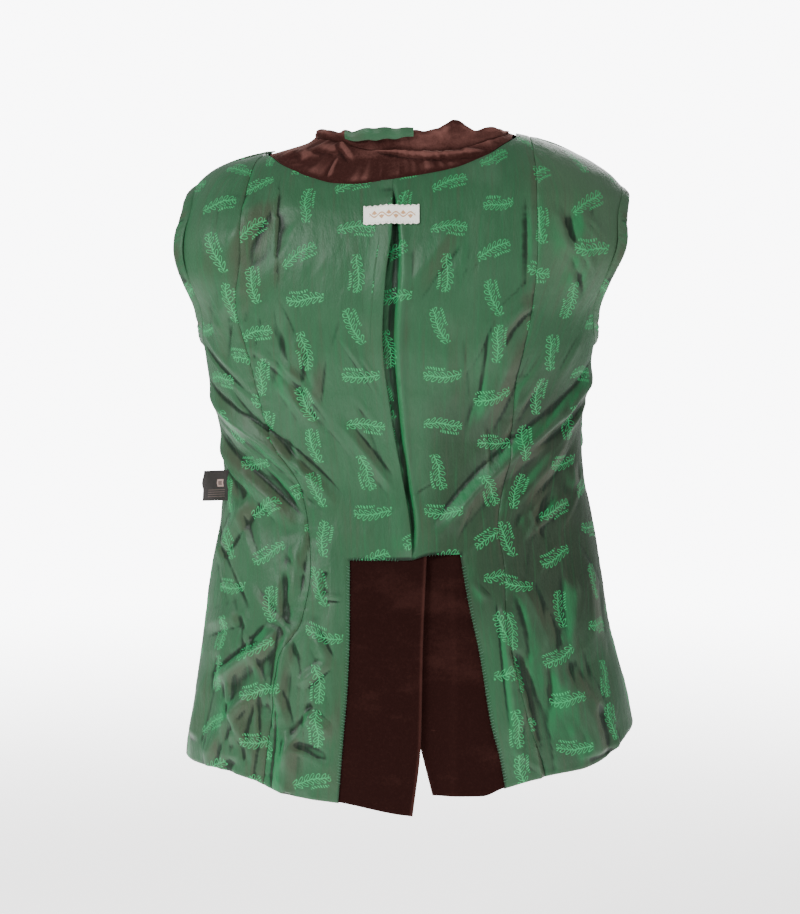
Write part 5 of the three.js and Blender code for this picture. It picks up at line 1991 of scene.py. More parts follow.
    def front_facing(self, side: Side) -> None:
        """The facing down a front's edge.

        Args:
            side: Which side.
        """
        sign = side.value
        outer = nudged(Cut.facing_edge(side), lambda height: -sign * Cut.LAP * ease((-10 - height) / 30))
        lines = [outer, Cut.front_edge(side)]
        stops = [level(Cut.ROLL_TOP), level(2), level(Cut.SINK_TOP), level(Cut.ROLL_END),
                 border(Cut.HEM[side])]
        grid = Grid.laid(lines[::sign], stops, VELVET_CELL)
        sink = Cut.front_sink(side, grid.turn, grid.height)
        edge_away = np.abs(grid.turn - outer(grid.height)) * FORM.girth_radius(grid.turn, grid.height)
        waves = self.soft(grid.turn, grid.height, 0.9) * ease(edge_away / 18) * ease((-20 - grid.height) / 30)
        grid.lift = self.facing_lift + waves * 0.6 - sink
        grid = grid.turned(Border.HIGH if sign > 0 else Border.LOW, self.edge_roll)
        grid = grid.turned(Border.FOOT, self.edge_roll)
        self.panel(grid, f"velvet_front_facing_{side.word}", f"facing_front_{side.word}", self.facing_wall)

    def vent_facing(self, side: Side) -> None:
        """The velvet flap of the vent, folded along its free edge.

        Args:
            side: Which side.
        """
        sign = side.value
        outer = nudged(seam(Cut.FELLED[side]), sign * Cut.LAP)
        lines = [seam(Cut.VENT_FOLD[side]), outer]
        stops = [lambda turn: Cut.vent_top(turn) + Cut.LAP, Cut.vent_top, border(Cut.HEM[side])]
        grid = Grid.laid(lines[::sign], stops, 0.75 * VELVET_CELL)
        away = np.abs(grid.turn - lines[0](grid.height)) * FORM.girth_radius(grid.turn, grid.height)
        inside = ease((Cut.vent_top(grid.turn) - grid.height) / 20)
        waves = 0.35 * self.soft(grid.turn * 2.0, grid.height * 0.8, 1.0)
        ridge = 0.7 * np.exp(-((away / 3.0) ** 2))
        grid.lift = self.facing_lift + (waves + ridge) * inside - Cut.vent_sink(side, grid.turn, grid.height)
        grid = grid.turned(Border.LOW if sign > 0 else Border.HIGH, self.edge_roll)
        grid = grid.turned(Border.FOOT, self.edge_roll)
        near_fold = np.abs(grid.turn - lines[0](grid.height)) * FORM.girth_radius(grid.turn, grid.height)
        # A painted highlight along the folded edge, stronger on the left flap.
        brush_and_highlight = 0.75 * np.exp(-((near_fold / 2.2) ** 2)) * (1.0 if side is Side.LEFT else 0.4)
        self.panel(grid, f"velvet_vent_{side.word}", f"facing_vent_{side.word}", self.facing_wall,
                   brush_and_highlight=brush_and_highlight)

    def make(self) -> None:
        """Makes the shell and the facings."""
        for side in Side:
            self.shell(side)
            self.front_facing(side)
            self.vent_facing(side)
        self.neck_facing()


@dataclass
class Sleeves:
    """The sleeves, which hang inside, and the heads of their linings."""

    velvet: bpy.types.Material
    satin: bpy.types.Material
    around: int = 96
    rings: tuple = (
        (188, -210, 187, -48, 61), (184, -220, 168, -62, 63), (181, -234, 151, -84, 67),
        (177, -250, 133, -116, 71), (171, -284, 114, -176, 73), (165, -322, 100, -250, 73),
        (160, -360, 90, -325, 71), (162, -400, 92, -390, 71), (168, -470, 102, -466, 69),
        (174, -550, 116, -548, 63), (178, -625, 126, -625, 58),
    )
    roll: tuple = (
        (8, 7.0, 8.2, 7.9, 1.0), (3.4, 8.6, 3.2, 10.2, 1.0), (-0.9, 7.0, -2.8, 8.4, 0.95),
        (-3.0, -6.5, -4.4, -6.5, 0.3),
    )

    def angles(self) -> np.ndarray:
        """The ring's angles, from under the arm."""
        return np.arange(self.around) / self.around * 2 * math.pi

    def armhole_point(self, side: Side, offset: float, lift: float, swell: float = 0.0) -> np.ndarray:
        """A ring of the armhole's oval, grown by an offset and standing off the form.

        Args:
            side: Which side.
            offset: How much the ring is grown.
            lift: How far it stands off the form.
            swell: The share of the rim's swell.

        Returns:
            The ring's points.
        """
        sign, angle = side.value, self.angles()
        y = Cut.ARMHOLE_MID[0] + (Cut.ARMHOLE_HALF[0] + offset) * np.sin(angle)
        z = Cut.ARMHOLE_MID[1] - (Cut.ARMHOLE_HALF[1] + offset) * np.cos(angle)
        height = z - FORM.tilt(np.full_like(z, sign * 215), z)
        width, _, power = FORM.ring(np.full_like(z, sign * math.pi / 2), height)
        _, depth, _ = FORM.ring(np.where(y < 0, 0.0, math.pi), height)
        x = sign * width * (1 - (np.abs(y) / depth) ** power) ** (1 / power)
        place = np.stack([x, y, z], axis=-1)
        outward = lift + swell * Cut.rim_swell(place)
        return place + np.stack([outward / FORM.normal(np.arctan2(x, -y), height)[..., 0], 0 * y, 0 * z],
                                axis=-1)

    def ring_point(self, side: Side, ring: Sequence[float], offset: float) -> np.ndarray:
        """A ring of the sleeve, grown by an offset.

        Args:
            side: Which side.
            ring: The row of the ring's sizes.
            offset: How much the ring is grown.

        Returns:
            The ring's points.
        """
        angle = self.angles()
        under, cap = np.array(ring[:2]), np.array(ring[2:4])
        half = (cap - under) / 2
        across = half * (np.linalg.norm(half) + offset) / np.linalg.norm(half)
        place = under + half - across * np.cos(angle)[:, None]
        y = Cut.ARMHOLE_MID[0] + (ring[4] + offset) * np.sin(angle)
        return np.stack([side.value * place[:, 0], y, place[:, 1]], axis=-1)

    @staticmethod
    def smoothed(rings: Sequence[np.ndarray], counts: Sequence[int]) -> np.ndarray:
        """Rows of points along a smooth path through rings.

        Args:
            rings: The rings, in order.
            counts: The rows between each two rings.

        Returns:
            The rows of points.
        """
        stack = np.array(rings)
        steps = np.arange(len(rings))
        shape = stack.shape
        flat = stack.reshape(shape[0], -1)
        places = np.concatenate([[0.0], *[k + np.arange(1, n + 1) / n for k, n in enumerate(counts)]])
        slopes = np.gradient(flat, axis=0)
        i = np.clip(np.floor(places).astype(int), 0, len(steps) - 2)
        t = (places - i)[:, None]
        rows = (
            flat[i] * (1 + 2 * t) * (1 - t) ** 2 + flat[i + 1] * t * t * (3 - 2 * t)
            + 0.8 * slopes[i] * t * (1 - t) ** 2 - 0.8 * slopes[i + 1] * t * t * (1 - t)
        )
        return rows.reshape(-1, *shape[1:])

    def rumpled(self, face: np.ndarray, depth: np.ndarray, start: int) -> np.ndarray:
        """Moves a tube's face in and out along its own radius.

        Args:
            face: The tube's face.
            depth: How far each point moves.
            start: The row by which the creases set in.

        Returns:
            The moved face.
        """
        middle = face.mean(axis=1, keepdims=True)
        away = face - middle
        length = np.linalg.norm(away, axis=-1, keepdims=True)
        fade = ease(np.arange(face.shape[0]) / start - 0.5)[:, None, None]
        return face + away / length * depth[..., None] * fade

    def sleeve(self, side: Side) -> None:
        """A velvet sleeve, from the armhole down.

        Args:
            side: Which side.
        """
        counts = [3, *[8] * (len(self.rings) - 1)]
        outer, inner = (
            self.smoothed([self.armhole_point(side, first, -7.4),
                           *[self.ring_point(side, ring, offset) for ring in self.rings]], counts)
            for first, offset in ((1.6, 0), (-0.2, -2))
        )
        rows = np.arange(outer.shape[0])[:, None] * 7.0
        angle = self.angles()[None, :]
        creases = (1.1 * np.sin(angle * 3 + rows / 40) * np.sin(rows / 31)
                   + 0.6 * np.sin(angle * 7 - rows / 19))
        cloth = Cloth(self.rumpled(outer, creases - 1.2, 40), self.rumpled(inner, creases - 1.2, 40),
                      closed=True)
        # The creases' ridges are painted lighter and their hollows darker: painted highlight and shade.
        cloth.fold = np.clip(creases / 2, -1, 1)
        piece = dressed(cloth.made(f"velvet_sleeve_{side.word}"), self.velvet, "velvet",
                        f"sleeve_{side.word}")
        declared(piece, cloth)

    def lining_head(self, side: Side) -> None:
        """The head of a sleeve's lining: it rolls over the armhole's edge with small gathers.

        Args:
            side: Which side.
        """
        rings = self.rings[:4]
        counts = [4, 7, 8, 6, 5, 6, 6]
        faces = [
            self.smoothed([*[self.armhole_point(side, row[k], row[k + 1], row[4]) for row in self.roll],
                           *[self.ring_point(side, ring, deep) for ring in rings]], counts)
            for k, deep in ((2, -5.3), (0, -4.2))
        ]
        rows = np.arange(faces[0].shape[0])[:, None]
        angle = self.angles()[None, :]
        gathers = DRAPE.fine.ridged(angle * 7.3, rows / 26.0)
        gathers = gathers * ease(rows / 3) * (0.9 - 0.5 * ease((rows - 20) / 14))
        lean = np.where(rows < 14, 1.0, 0.0) * gathers
        moved = [face + np.stack([side.value * lean, 0 * lean, 0 * lean], axis=-1) * 0.8 for face in faces]
        cloth = Cloth(*moved, closed=True)
        # The gathers' ridges and hollows are painted lighter and darker, and their sides painted lit or
        # shaded.
        cloth.fold = np.clip(gathers, -1, 1)
        cloth.shot = np.clip(np.gradient(gathers, axis=1) * 2, -1, 1)
        piece = dressed(cloth.made(f"satin_sleeve_head_{side.word}", 12), self.satin, "lining",
                        f"sleeve_lining_{side.word}")
        declared(piece, cloth)

    def make(self) -> None:
        """Makes both sleeves."""
        for side in Side:
            self.sleeve(side)
            self.lining_head(side)


@dataclass
class Collar:
    """The bunched collar along the neck, with its hanger loop and the two turned-in lapels."""

    velvet: bpy.types.Material
    bunched: bpy.types.Material
    satin: bpy.types.Material
    wall: float = 2.4
    corner: float = 0.88
    shoulder: float = 0.8
    end: float = 2
    outside: float = 1.2
    reach: float = 0.95
    columns: int = 340
    rows: int = 40
    section: tuple = (
        (-0.8, 0.6, 0), (0.4, 8, 0.4), (-0.4, 17, 0.9), (-6, 24, 1), (-12.5, 21, 1), (-14.5, 7, 0.7),
        (-15.5, -12, 0.5)
    )
    lumps: tuple = ((44, 9, 11), (-50, 9, 3), (-30, 7, 1.5), (62, 9, 3))

    def base(self, place: np.ndarray) -> tuple[np.ndarray, np.ndarray]:
        """The turn and height of the neck edge at a place from -1 to 1 along the collar.

        Args:
            place: Places along the collar.

        Returns:
            The turns and the heights.
        """
        sign = np.where(place < 0, -1, 1)
        share = np.abs(place)
        quarter = sign * math.pi / 2
        rise = Cut.ROLL_TOP + self.outside

        def roll(height: np.ndarray) -> np.ndarray:
            """The front edge, just outside it.

            Args:
                height: The heights.

            Returns:
                Its turns there.
            """
            high = np.minimum(height, Cut.ROLL_TOP)
            left, right = (nudged(Cut.front_edge(side), side.value * self.outside)(high) for side in Side)
            return np.where(sign < 0, left, right)

        back_turn = quarter * share / self.shoulder
        along = np.clip((share - self.shoulder) / (self.corner - self.shoulder), 0, 1)
        side_turn = mix(quarter, roll(np.full_like(place, Cut.ROLL_TOP)), along)
        side_height = mix(border(Cut.NECK)(quarter), rise, along)
        down = mix(rise, self.end, np.clip((share - self.corner) / (1 - self.corner), 0, 1))
        behind = share <= self.shoulder
        middle = share <= self.corner
        turn = np.where(behind, back_turn, np.where(middle, side_turn, roll(down)))
        height = np.where(behind, border(Cut.NECK)(back_turn), np.where(middle, side_height, down))
        return turn, height

    def point(self, place: np.ndarray, out: np.ndarray, up: np.ndarray, ruffle: np.ndarray) -> np.ndarray:
        """A point of the collar, out from the neck edge and up from it.

        Args:
            place: Places along the collar, from -1 to 1.
            out: The way out from the neck edge.
            up: The way up from it.
            ruffle: The share of the ruffle.

        Returns:
            The points, with xyz last.
        """
        turn, height = self.base(place)
        ending = ease((np.abs(place) - 0.78) / 0.12)
        ruffle = ruffle * (1 - 0.85 * ending)
        out = np.where(out < 0, out * (1 - 0.45 * ending), out)
        base = FORM.lifted(turn, height, np.full_like(turn, 2.5))
        width, depth, _ = FORM.ring(turn, height)
        outward = np.stack([np.sin(turn) / width, -np.cos(turn) / depth, np.zeros_like(turn)], axis=-1)
        outward = outward / np.linalg.norm(outward, axis=-1, keepdims=True)
        wave = 0.5 * np.sin(place * 14 * math.pi + 0.6 * np.sin(place * 9) + up / 14)
        small = (DRAPE.bend(place * 13 + 7, up / 17) - 0.5
                 + 0.5 * (DRAPE.fine(place * 26 + up / 30, up / 12) - 0.5))
        degrees = turn / RADIANS
        lumps = sum(rise * np.exp(-(((degrees - at) / spread) ** 2)) for at, spread, rise in self.lumps)
        right = 0.45 * ease((degrees - 40) / 16) + 0.42 * ease((degrees - 60) / 20)
        left = 0.58 * ease((-degrees - 18) / 40) + 0.3 * ease((-degrees - 80) / 30)
        low = np.where(degrees < 0, left, right)
        up = np.where(up > 0, up * (1 - low), up)
        raised = np.where(up > 0, ruffle * (lumps + 1.2 * wave + 2.2 * small), 0)
        base = base + outward * (out + ruffle * (1.8 * wave + 3.2 * small))[..., None]
        return base + np.stack([0 * up, 0 * up, up + raised], axis=-1)

    def roll(self) -> None:
        """The collar's roll and the fall inside it."""
        section = np.array(self.section)[::-1]
        steps = np.linspace(0, len(section) - 1, self.rows)
        rows = np.stack([Curve(*enumerate(section[:, k]))(steps) for k in range(3)], axis=-1)
        along = np.gradient(rows[:, :2], axis=0)
        along = along / np.linalg.norm(along, axis=1, keepdims=True)
        place = np.linspace(-self.reach, self.reach, self.columns)[None, :] + 0 * rows[:, :1]
        faces = []
        for wall in (0.0, self.wall):
            out = rows[:, :1] + wall * along[:, 1:] + 0 * place
            up = rows[:, 1:2] - wall * along[:, :1] + 0 * place
            faces.append(self.point(place, out, up, rows[:, 2:] + 0 * place))
        cloth = Cloth(*faces)
        # Its ridges carry painted highlights and its folds painted shade.
        cloth.shaded(np.linalg.norm(faces[0][..., :2], axis=-1), 5)
        piece = dressed(cloth.made("velvet_collar"), self.bunched, "velvet", "collar")
        declared(piece, cloth)

    def hanger(self) -> None:
        """The hanger loop, a strip of the lining cloth sewn flat at both ends."""
        share = np.linspace(0, 1, 70)[None, :] + np.zeros((9, 1))
        drop = np.linspace(1, 0, 9)[:, None] + 0 * share
        sag = mix(-5.5, 1.5, share) - 1.2 * np.sin(math.pi * share) - 0.5 * np.sin(share * 19)
        curl = 1.1 * np.sin(math.pi * drop) + 0.7 * np.sin(share * 17 + drop)
        place = mix(-0.42, 0.09, share)
        tall = mix(17.0, 9.5, share)
        faces = [
            self.point(place, out + curl, 15 + sag + drop * tall, np.full_like(share, 0.45))
            for out in (5.0, 4.2)
        ]
        cloth = Cloth(*faces)
        # Its curl is painted lighter on the crests and darker in the folds, with lit and shaded sides.
        cloth.shaded(curl, 2)
        piece = dressed(cloth.made("satin_hanger_loop", 90), self.satin, "lining", "hanger_loop")
        declared(piece, cloth)

    def lapel(self, side: Side) -> None:
        """A lapel, turned back inside along the roll line.

        Args:
            side: Which side.
        """
        sign = side.value
        roll = Cut.front_edge(side)
        lines = [nudged(roll, lambda height: -sign * Cut.LAPEL_WIDTH(height)), nudged(roll, -sign * 4.0),
                 nudged(roll, sign * 0.3), nudged(roll, sign * 1.1)]
        grid = Grid.laid(lines[::sign], [level(-26), level(-204)], VELVET_CELL)
        past = (grid.turn - roll(grid.height)) * sign * FORM.girth_radius(grid.turn, grid.height)
        turned = mix(-5.2, -2.9, ease((past + 4) / 4.3))
        bent = mix(-2.9, 0.2, np.clip((past - 0.3) / 0.5, 0, 1))
        grid.lift = np.where(past < 0.3, turned, bent) - Cut.front_sink(side, grid.turn, grid.height)
        cloth = Cloth.on_form(grid, 2.0)
        piece = dressed(cloth.made(f"velvet_lapel_{side.word}"), self.velvet, "velvet", f"lapel_{side.word}")
        declared(piece, cloth)

    def make(self) -> None:
        """Makes the collar, its loop and the lapels."""
        self.roll()
        self.hanger()
        for side in Side:
            self.lapel(side)


@dataclass
class Labels:
    """The woven label at the centre back and the care label in the left side seam."""

    woven: bpy.types.Material
    ribbon: bpy.types.Material
    left: float = -40
    right: float = 18
    top: float = -66
    bottom: float = -85
    wall: float = 0.7
    ribbon_turn: float = -78
    ribbon_heights: tuple = (-346, -380)
    ribbon_length: float = 29

    def woven_label(self) -> None:
        """The ivory label, sewn flat, with cockled edges."""
        lines = [lambda height, x=x: FORM.turn_at(x, height) for x in (self.left, self.right)]
        grid = Grid.laid(lines, [level(self.top), level(self.bottom)], 0.8)
        across = FORM.point(grid.turn, grid.height)[..., 0]
        near_pleat = np.exp(-(((across + 14) / 12) ** 2))
        edge = np.minimum(grid.height - self.bottom, self.top - grid.height)
        cockle = 0.45 * np.sin(across * 1.9) * np.exp(-edge / 1.6)
        grid.height = grid.height + 0.5 * np.sin(across * 1.1 + 1) * np.exp(-edge / 2.0)
        grid.lift = Drape.LIFT + mix(3.0, 6.8, near_pleat) + 1.2 + cockle + 0.5 * np.sin(across / 9)
        cloth = Cloth.on_form(grid, self.wall)
        piece = dressed(cloth.made("woven_label"), self.woven, "label_cloth", "label")
        declared(piece, cloth)

    def care_label(self) -> None:
        """The black ribbon that stands out of the seam, a little curled."""
        outward = np.array([-0.96, -0.26, 0]) / math.hypot(0.96, 0.26)
        sideways = np.array([outward[1], -outward[0], 0])
        rows, columns = np.meshgrid(np.linspace(0, 1, 30), np.linspace(1, 0, 26), indexing="ij")
        height = mix(*self.ribbon_heights, rows)
        turns = np.full_like(height, self.ribbon_turn * RADIANS)
        root = FORM.lifted(turns, height, Drape.LIFT + DRAPE.relief(turns, height) - 1.0)
        curl = -3 * columns**2 + 1.2 * np.sin(columns * 5 + rows * 2) * columns
        faces = [
            root + outward * (columns * self.ribbon_length)[..., None] + sideways * (lift + curl)[..., None]
            for lift in (self.wall, 0.0)
        ]
        cloth = Cloth(*faces)
        piece = dressed(cloth.made("care_label_ribbon"), self.ribbon, "care_cloth", "care_label")
        declared(piece, cloth)

    def make(self) -> None:
        """Makes both labels."""
        self.woven_label()
        self.care_label()


@dataclass
class Stitches:
    """Hand stitches: small slanted bars of thread, in rows."""

    thick: float = 0.32
    sides: int = 5
    front: bool = False
    profile: tuple = ((0, -0.3, 0.4), (0.25, 0.35, 1), (0.75, 0.35, 1), (1, -0.3, 0.4))

    def bar(self, start: np.ndarray, end: np.ndarray, out: np.ndarray) -> tuple[np.ndarray, list[list[int]]]:
        """One stitch, bowed outwards, as points and faces.

        Args:
            start: Where it comes up, in millimetres.
            end: Where it goes down.
            out: The cloth's outward direction.

        Returns:
            The stitch's points and its faces.
        """
        along = (end - start) / np.linalg.norm(end - start)
        side = np.cross(along, out)
        angles = np.arange(self.sides) / self.sides * 2 * math.pi
        rings = []
        for share, rise, size in self.profile:
            middle = start + (end - start) * share + out * rise
            rings += [middle + self.thick * size * (side * math.cos(a) + out * math.sin(a)) for a in angles]
        n = self.sides
        faces = [
            [k * n + i, k * n + (i + 1) % n, (k + 1) * n + (i + 1) % n, (k + 1) * n + i]
            for k in range(3) for i in range(n)
        ]
        return np.array(rings), [list(range(n))[::-1], *faces, [3 * n + i for i in range(n)]]

    def row(self, places: Sequence[tuple[float, float, float]], reach: tuple[float, float],
            pitch: float) -> list:
        """Lays stitches along a line on the form.

        Args:
            places: The line, as (across, height, lift) rows; heights are taken before the tilt.
            reach: Each stitch's reach across and up, in millimetres.
            pitch: The distance between stitches.

        Returns:
            The stitches, as (points, faces) pairs.
        """
        path = np.array(places, float)
        length = np.concatenate([[0], np.cumsum(np.linalg.norm(np.diff(path[:, :2], axis=0), axis=1))])
        made = []
        for at in np.arange(pitch / 2, length[-1], pitch):
            across, height, lift = (float(np.interp(at, length, path[:, k])) for k in range(3))
            jitter = 0.25 * math.sin(at * 7.3)
            ends = []
            for way in (-0.5, 0.5):
                spot = np.array([across + way * reach[0] + jitter, height + way * reach[1]])
                turn = FORM.turn_at(spot[0], np.array(spot[1]), self.front)
                ends.append(FORM.lifted(turn, np.array(spot[1]), np.array(lift)))
            out = FORM.normal(FORM.turn_at(across, np.array(height), self.front), np.array(height))
            made.append(self.bar(ends[0], ends[1], out))
        return made

    def sew(self, name: str, rows: Sequence[list], thread: bpy.types.Material, slot: str) -> None:
        """Makes the stitches of one seam into a piece.

        Args:
            name: The piece's name.
            rows: The stitches of each row.
            thread: The thread's finish.
            slot: The name of its slot.
        """
        points, faces = [], []
        for stitches in rows:
            for own, own_faces in stitches:
                base = sum(len(p) for p in points)
                points.append(own)
                faces += [[base + i for i in face] for face in own_faces]
        mesh = bpy.data.meshes.new(name)
        mesh.from_pydata((np.concatenate(points) * MM).tolist(), [], faces)
        mesh.update(calc_edges=True)
        piece = bpy.data.objects.new(name, mesh)
        bpy.context.scene.collection.objects.link(piece)
        only(piece)
        bpy.ops.object.mode_set(mode="EDIT")
        bpy.ops.mesh.select_all(action="SELECT")
        bpy.ops.mesh.normals_make_consistent(inside=False)
        bpy.ops.object.mode_set(mode="OBJECT")
        bpy.ops.object.shade_smooth()
        piece.select_set(False)
        dressed(piece, thread, slot)


@dataclass
class HandSewing:
    """The visible stitches: where the lining is felled to the vent, the label and the buttonholes."""

    brown: bpy.types.Material
    green: bpy.types.Material
    ivory: bpy.types.Material
    vent_lift: float = 5.6
    vent_pitch: float = 3.1
    label_pitch: float = 2.6
    hole_heights: tuple = (-268, -358, -448)
    hole_start: float = 12
    hole_length: float = 23
    hole_lift: float = 3
    hole_pitch: float = 0.95

    def vent(self) -> None:
        """Whip stitches along the three felled edges over the vent."""
        stitches = Stitches(thick=0.26)
        rows = []
        for side in Side:
            line = Cut.FELLED[side]
            heights = np.linspace(Cut.VENT_TOP_LEFT - 6, -668, 24)
            rows.append(stitches.row(
                [(float(line(h)) + side.value * 1.2, h, self.vent_lift - float(self.sunk(side, h)))
                 for h in heights],
                (4.2 * side.value, 1.5), self.vent_pitch,
            ))
        across = np.linspace(
            float(Cut.FELLED[Side.LEFT](Cut.VENT_TOP_LEFT)) + 3,
            float(Cut.FELLED[Side.RIGHT](Cut.VENT_TOP_RIGHT)) - 3, 20,
        )
        top = [
            (x, float(Cut.vent_top(FORM.turn_at(x, np.array(float(Cut.VENT_TOP_LEFT))))) + 0.9,
             self.vent_lift - (0 if x < -2 else float(self.sunk(Side.RIGHT, -434, x)))) for x in across
        ]
        rows.append(stitches.row(top, (1.2, 3.8), self.vent_pitch))
        stitches.sew("vent_stitches", rows, self.green, "lining")

    @staticmethod
    def sunk(side: Side, height: float, across: Optional[float] = None) -> np.ndarray:
        """How far the velvet sinks at a felled edge.

        Args:
            side: Which side.
            height: The height.
            across: The way across, or None for the felled edge itself.

        Returns:
            The depth there.
        """
        x = float(Cut.FELLED[side](height)) if across is None else across
        up = np.array(float(height))
        return Cut.vent_sink(side, FORM.turn_at(x, up), up)

    def label_edge(self) -> None:
        """Small stitches round the woven label."""
        stitches = Stitches(thick=0.28)
        lift = [(x, Drape.LIFT + 5.5 + 3.2 * math.exp(-(((x + 14) / 12) ** 2)))
                for x in np.linspace(-39, 17, 16)]
        rows = [
            stitches.row([(x, height, up - 0.9) for x, up in lift], (1.5, slant), self.label_pitch)
            for height, slant in ((-67.2, 0.9), (-83.8, -0.9))
        ]
        stitches.sew("label_stitches", rows, self.ivory, "label_cloth")

    def buttonholes(self) -> None:
        """Three worked buttonholes in the right front's facing."""
        stitches = Stitches(thick=0.4, front=True)
        rows = []
        inner, outer = self.hole_start, self.hole_start + self.hole_length
        for height in self.hole_heights:
            for edge in (-1.3, 1.3):
                line = [(x, height + edge, self.hole_lift) for x in (inner, outer)]
                rows.append(stitches.row(line, (0.15, 2.2), self.hole_pitch))
            bar = [(outer + 0.8, height + edge, self.hole_lift) for edge in (-2.4, 2.4)]
            rows.append(stitches.row(bar, (2.2, 0.15), self.hole_pitch))
        stitches.sew("buttonhole_stitches", rows, self.brown, "velvet")

    def make(self) -> None:
        """Sews them all."""
        self.vent()
        self.label_edge()
        self.buttonholes()


@dataclass
class Buttons:
    """Three four-hole horn buttons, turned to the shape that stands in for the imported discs."""

    horn: bpy.types.Material
    count: int = 3
    rim: float = 1.1
    dish: float = 0.7
    hole: float = 0.95
    spacing: float = 2.1
    crisp_angle: float = 35

    def drill(self, button: bpy.types.Object, depth: float) -> None:
        """Drills a button's four holes.

        Args:
            button: The button, still flat at the origin.
            depth: The depth of its disc in metres.
        """
        for x, y in ((-1, -1), (1, -1), (-1, 1), (1, 1)):
            bpy.ops.object.select_all(action="DESELECT")
            bpy.ops.mesh.primitive_cylinder_add(
                vertices=16, radius=self.hole * MM, depth=depth * 3,
                location=(x * self.spacing * MM, y * self.spacing * MM, 0),
            )
            pin = bpy.context.active_object
            only(button)
            cut = button.modifiers.new("hole", "BOOLEAN")
            cut.operation = "DIFFERENCE"
            cut.object = pin
            bpy.ops.object.modifier_apply(modifier=cut.name)
            bpy.data.objects.remove(pin)

    def turned(self, number: int) -> bpy.types.Object:
        """Turns one button on its CAD disc's place, dishes it and drills it.

        Args:
            number: The button's number.

        Returns:
            The button.
        """
        low, high = (np.array(corner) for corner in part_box(f"button_{number}"))
        middle = (low + high) / 2
        radius = max(high[0] - low[0], high[2] - low[2]) / 2
        depth = high[1] - low[1]
        bpy.ops.object.select_all(action="DESELECT")
        bpy.ops.mesh.primitive_cylinder_add(vertices=48, radius=radius, depth=depth * 0.92)
        button = bpy.context.active_object
        bpy.ops.object.mode_set(mode="EDIT")
        bpy.ops.mesh.select_all(action="DESELECT")
        bpy.ops.object.mode_set(mode="OBJECT")
        for face in button.data.polygons:
            face.select = face.normal.z > 0.9
        bpy.ops.object.mode_set(mode="EDIT")
        bpy.ops.mesh.select_mode(type="FACE")
        bpy.ops.mesh.inset(thickness=self.rim * 1.6 * MM)
        bpy.ops.mesh.inset(thickness=self.rim * MM, depth=-self.dish * MM)
        bpy.ops.object.mode_set(mode="OBJECT")
        bevel = button.modifiers.new("rim", "BEVEL")
        bevel.width = 0.5 * MM
        bevel.segments = 3
        bevel.limit_method = "ANGLE"
        bpy.ops.object.modifier_apply(modifier=bevel.name)
        self.drill(button, depth)
        only(button)
        button.rotation_euler = (math.radians(-90), 0, 0)
        button.location = Vector(middle)
        bpy.ops.object.transform_apply(location=True, rotation=True, scale=True)
        button.name = f"horn_button_{number}"
        smooth_by_angle(button, self.crisp_angle)
        return button

    def make(self) -> None:
        """Makes each button over its disc."""
        for number in range(1, self.count + 1):
            dressed(self.turned(number), self.horn, "horn", f"button_{number}")


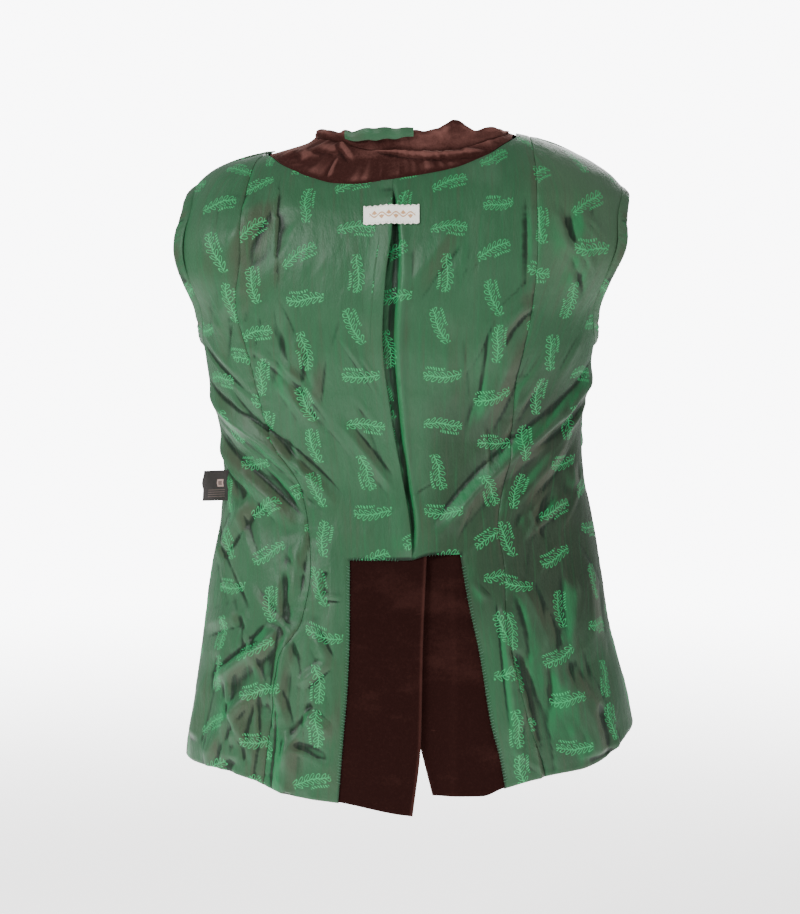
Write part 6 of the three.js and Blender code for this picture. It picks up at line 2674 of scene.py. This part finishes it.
@dataclass
class Studio:
    """Pale floor, soft light and the camera."""

    focal_px: float = 2545
    distance: float = 2.8
    elevation: float = 4.0
    target: tuple = (-0.0022, 0.0, -0.335)
    floor_height: float = -1.0
    room_light: float = 0.55
    backdrop_light: float = 9.0

    def camera(self) -> None:
        """Sets the camera at the photograph's viewing angle."""
        data = bpy.data.cameras.new("camera")
        data.sensor_width = 36
        data.lens = self.focal_px / IMAGE_HEIGHT * data.sensor_width
        camera = bpy.data.objects.new("camera", data)
        bpy.context.scene.collection.objects.link(camera)
        up = math.radians(self.elevation)
        offset = Vector((0, -math.cos(up), math.sin(up))) * self.distance
        camera.location = Vector(self.target) + offset
        camera.rotation_euler = (math.radians(90 - self.elevation), 0, 0)
        bpy.context.scene.camera = camera

    def lamp(self, name: str, place: tuple, size: float, power: float) -> None:
        """Adds a soft square lamp aimed at the blazer's middle.

        Args:
            name: The lamp's name.
            place: Its place.
            size: The length of its side.
            power: Its power in watts.
        """
        data = bpy.data.lights.new(name, "AREA")
        data.size = size
        data.energy = power
        lamp = bpy.data.objects.new(name, data)
        bpy.context.scene.collection.objects.link(lamp)
        lamp.location = place
        lamp.rotation_euler = (Vector(self.target) - Vector(place)).to_track_quat("-Z", "Y").to_euler()

    def floor(self) -> None:
        """Lays a pale round floor."""
        bpy.ops.object.select_all(action="DESELECT")
        bpy.ops.mesh.primitive_circle_add(vertices=96, radius=9, fill_type="NGON",
                                          location=(0, 0, self.floor_height))
        floor = bpy.context.active_object
        floor.name = "floor"
        bench = Bench("pale_floor")
        color = bench.blend(bench.noise(bench.object_place(), 3, 2), (0.93, 0.92, 0.91), (0.97, 0.96, 0.955))
        x, y, _ = bench.parts(bench.object_place())
        far = (x * x + y * y) ** 0.5
        floor.data.materials.append(
            bench.finished(Base_Color=color, Roughness=0.9, Alpha=far.step(4.2, 0.9),
                           Emission_Color=(1.0, 0.985, 0.98), Emission_Strength=1.9)
        )

    def world(self) -> None:
        """Lights the scene evenly."""
        world = bpy.data.worlds.new("white_room")
        world.use_nodes = True
        background = world.node_tree.nodes["Background"]
        background.inputs["Color"].default_value = (0.98, 0.985, 1.0, 1)
        path = world.node_tree.nodes.new("ShaderNodeLightPath")
        strength = world.node_tree.nodes.new("ShaderNodeMapRange")
        strength.inputs["To Min"].default_value = self.room_light
        strength.inputs["To Max"].default_value = self.backdrop_light
        world.node_tree.links.new(path.outputs["Is Camera Ray"], strength.inputs["Value"])
        world.node_tree.links.new(strength.outputs["Result"], background.inputs["Strength"])
        bpy.context.scene.world = world

    def make(self) -> None:
        """Sets the stage."""
        self.camera()
        self.world()
        self.lamp("key", (-2.0, -2.2, 1.3), 1.1, 105)
        self.lamp("fill", (2.4, -2.0, 0.2), 1.6, 16)
        self.lamp("front", (0.6, 2.6, 0.9), 1.6, 50)
        self.floor()


def main() -> None:
    """Builds the blazer piece by piece and reports each."""
    logging.basicConfig(level=logging.INFO, format="%(name)s %(message)s", stream=sys.stdout)
    wardrobe = Wardrobe()
    Studio().make()
    VelvetPanels(wardrobe.velvet, wardrobe.bunched).make()
    Lining(wardrobe.satin).make()
    Sleeves(wardrobe.velvet, wardrobe.satin).make()
    Collar(wardrobe.velvet, wardrobe.bunched, wardrobe.satin).make()
    Labels(wardrobe.label, wardrobe.ribbon).make()
    HandSewing(wardrobe.brown_thread, wardrobe.green_thread, wardrobe.ivory_thread).make()
    Buttons(wardrobe.horn).make()


if __name__ == "__main__":
    main()
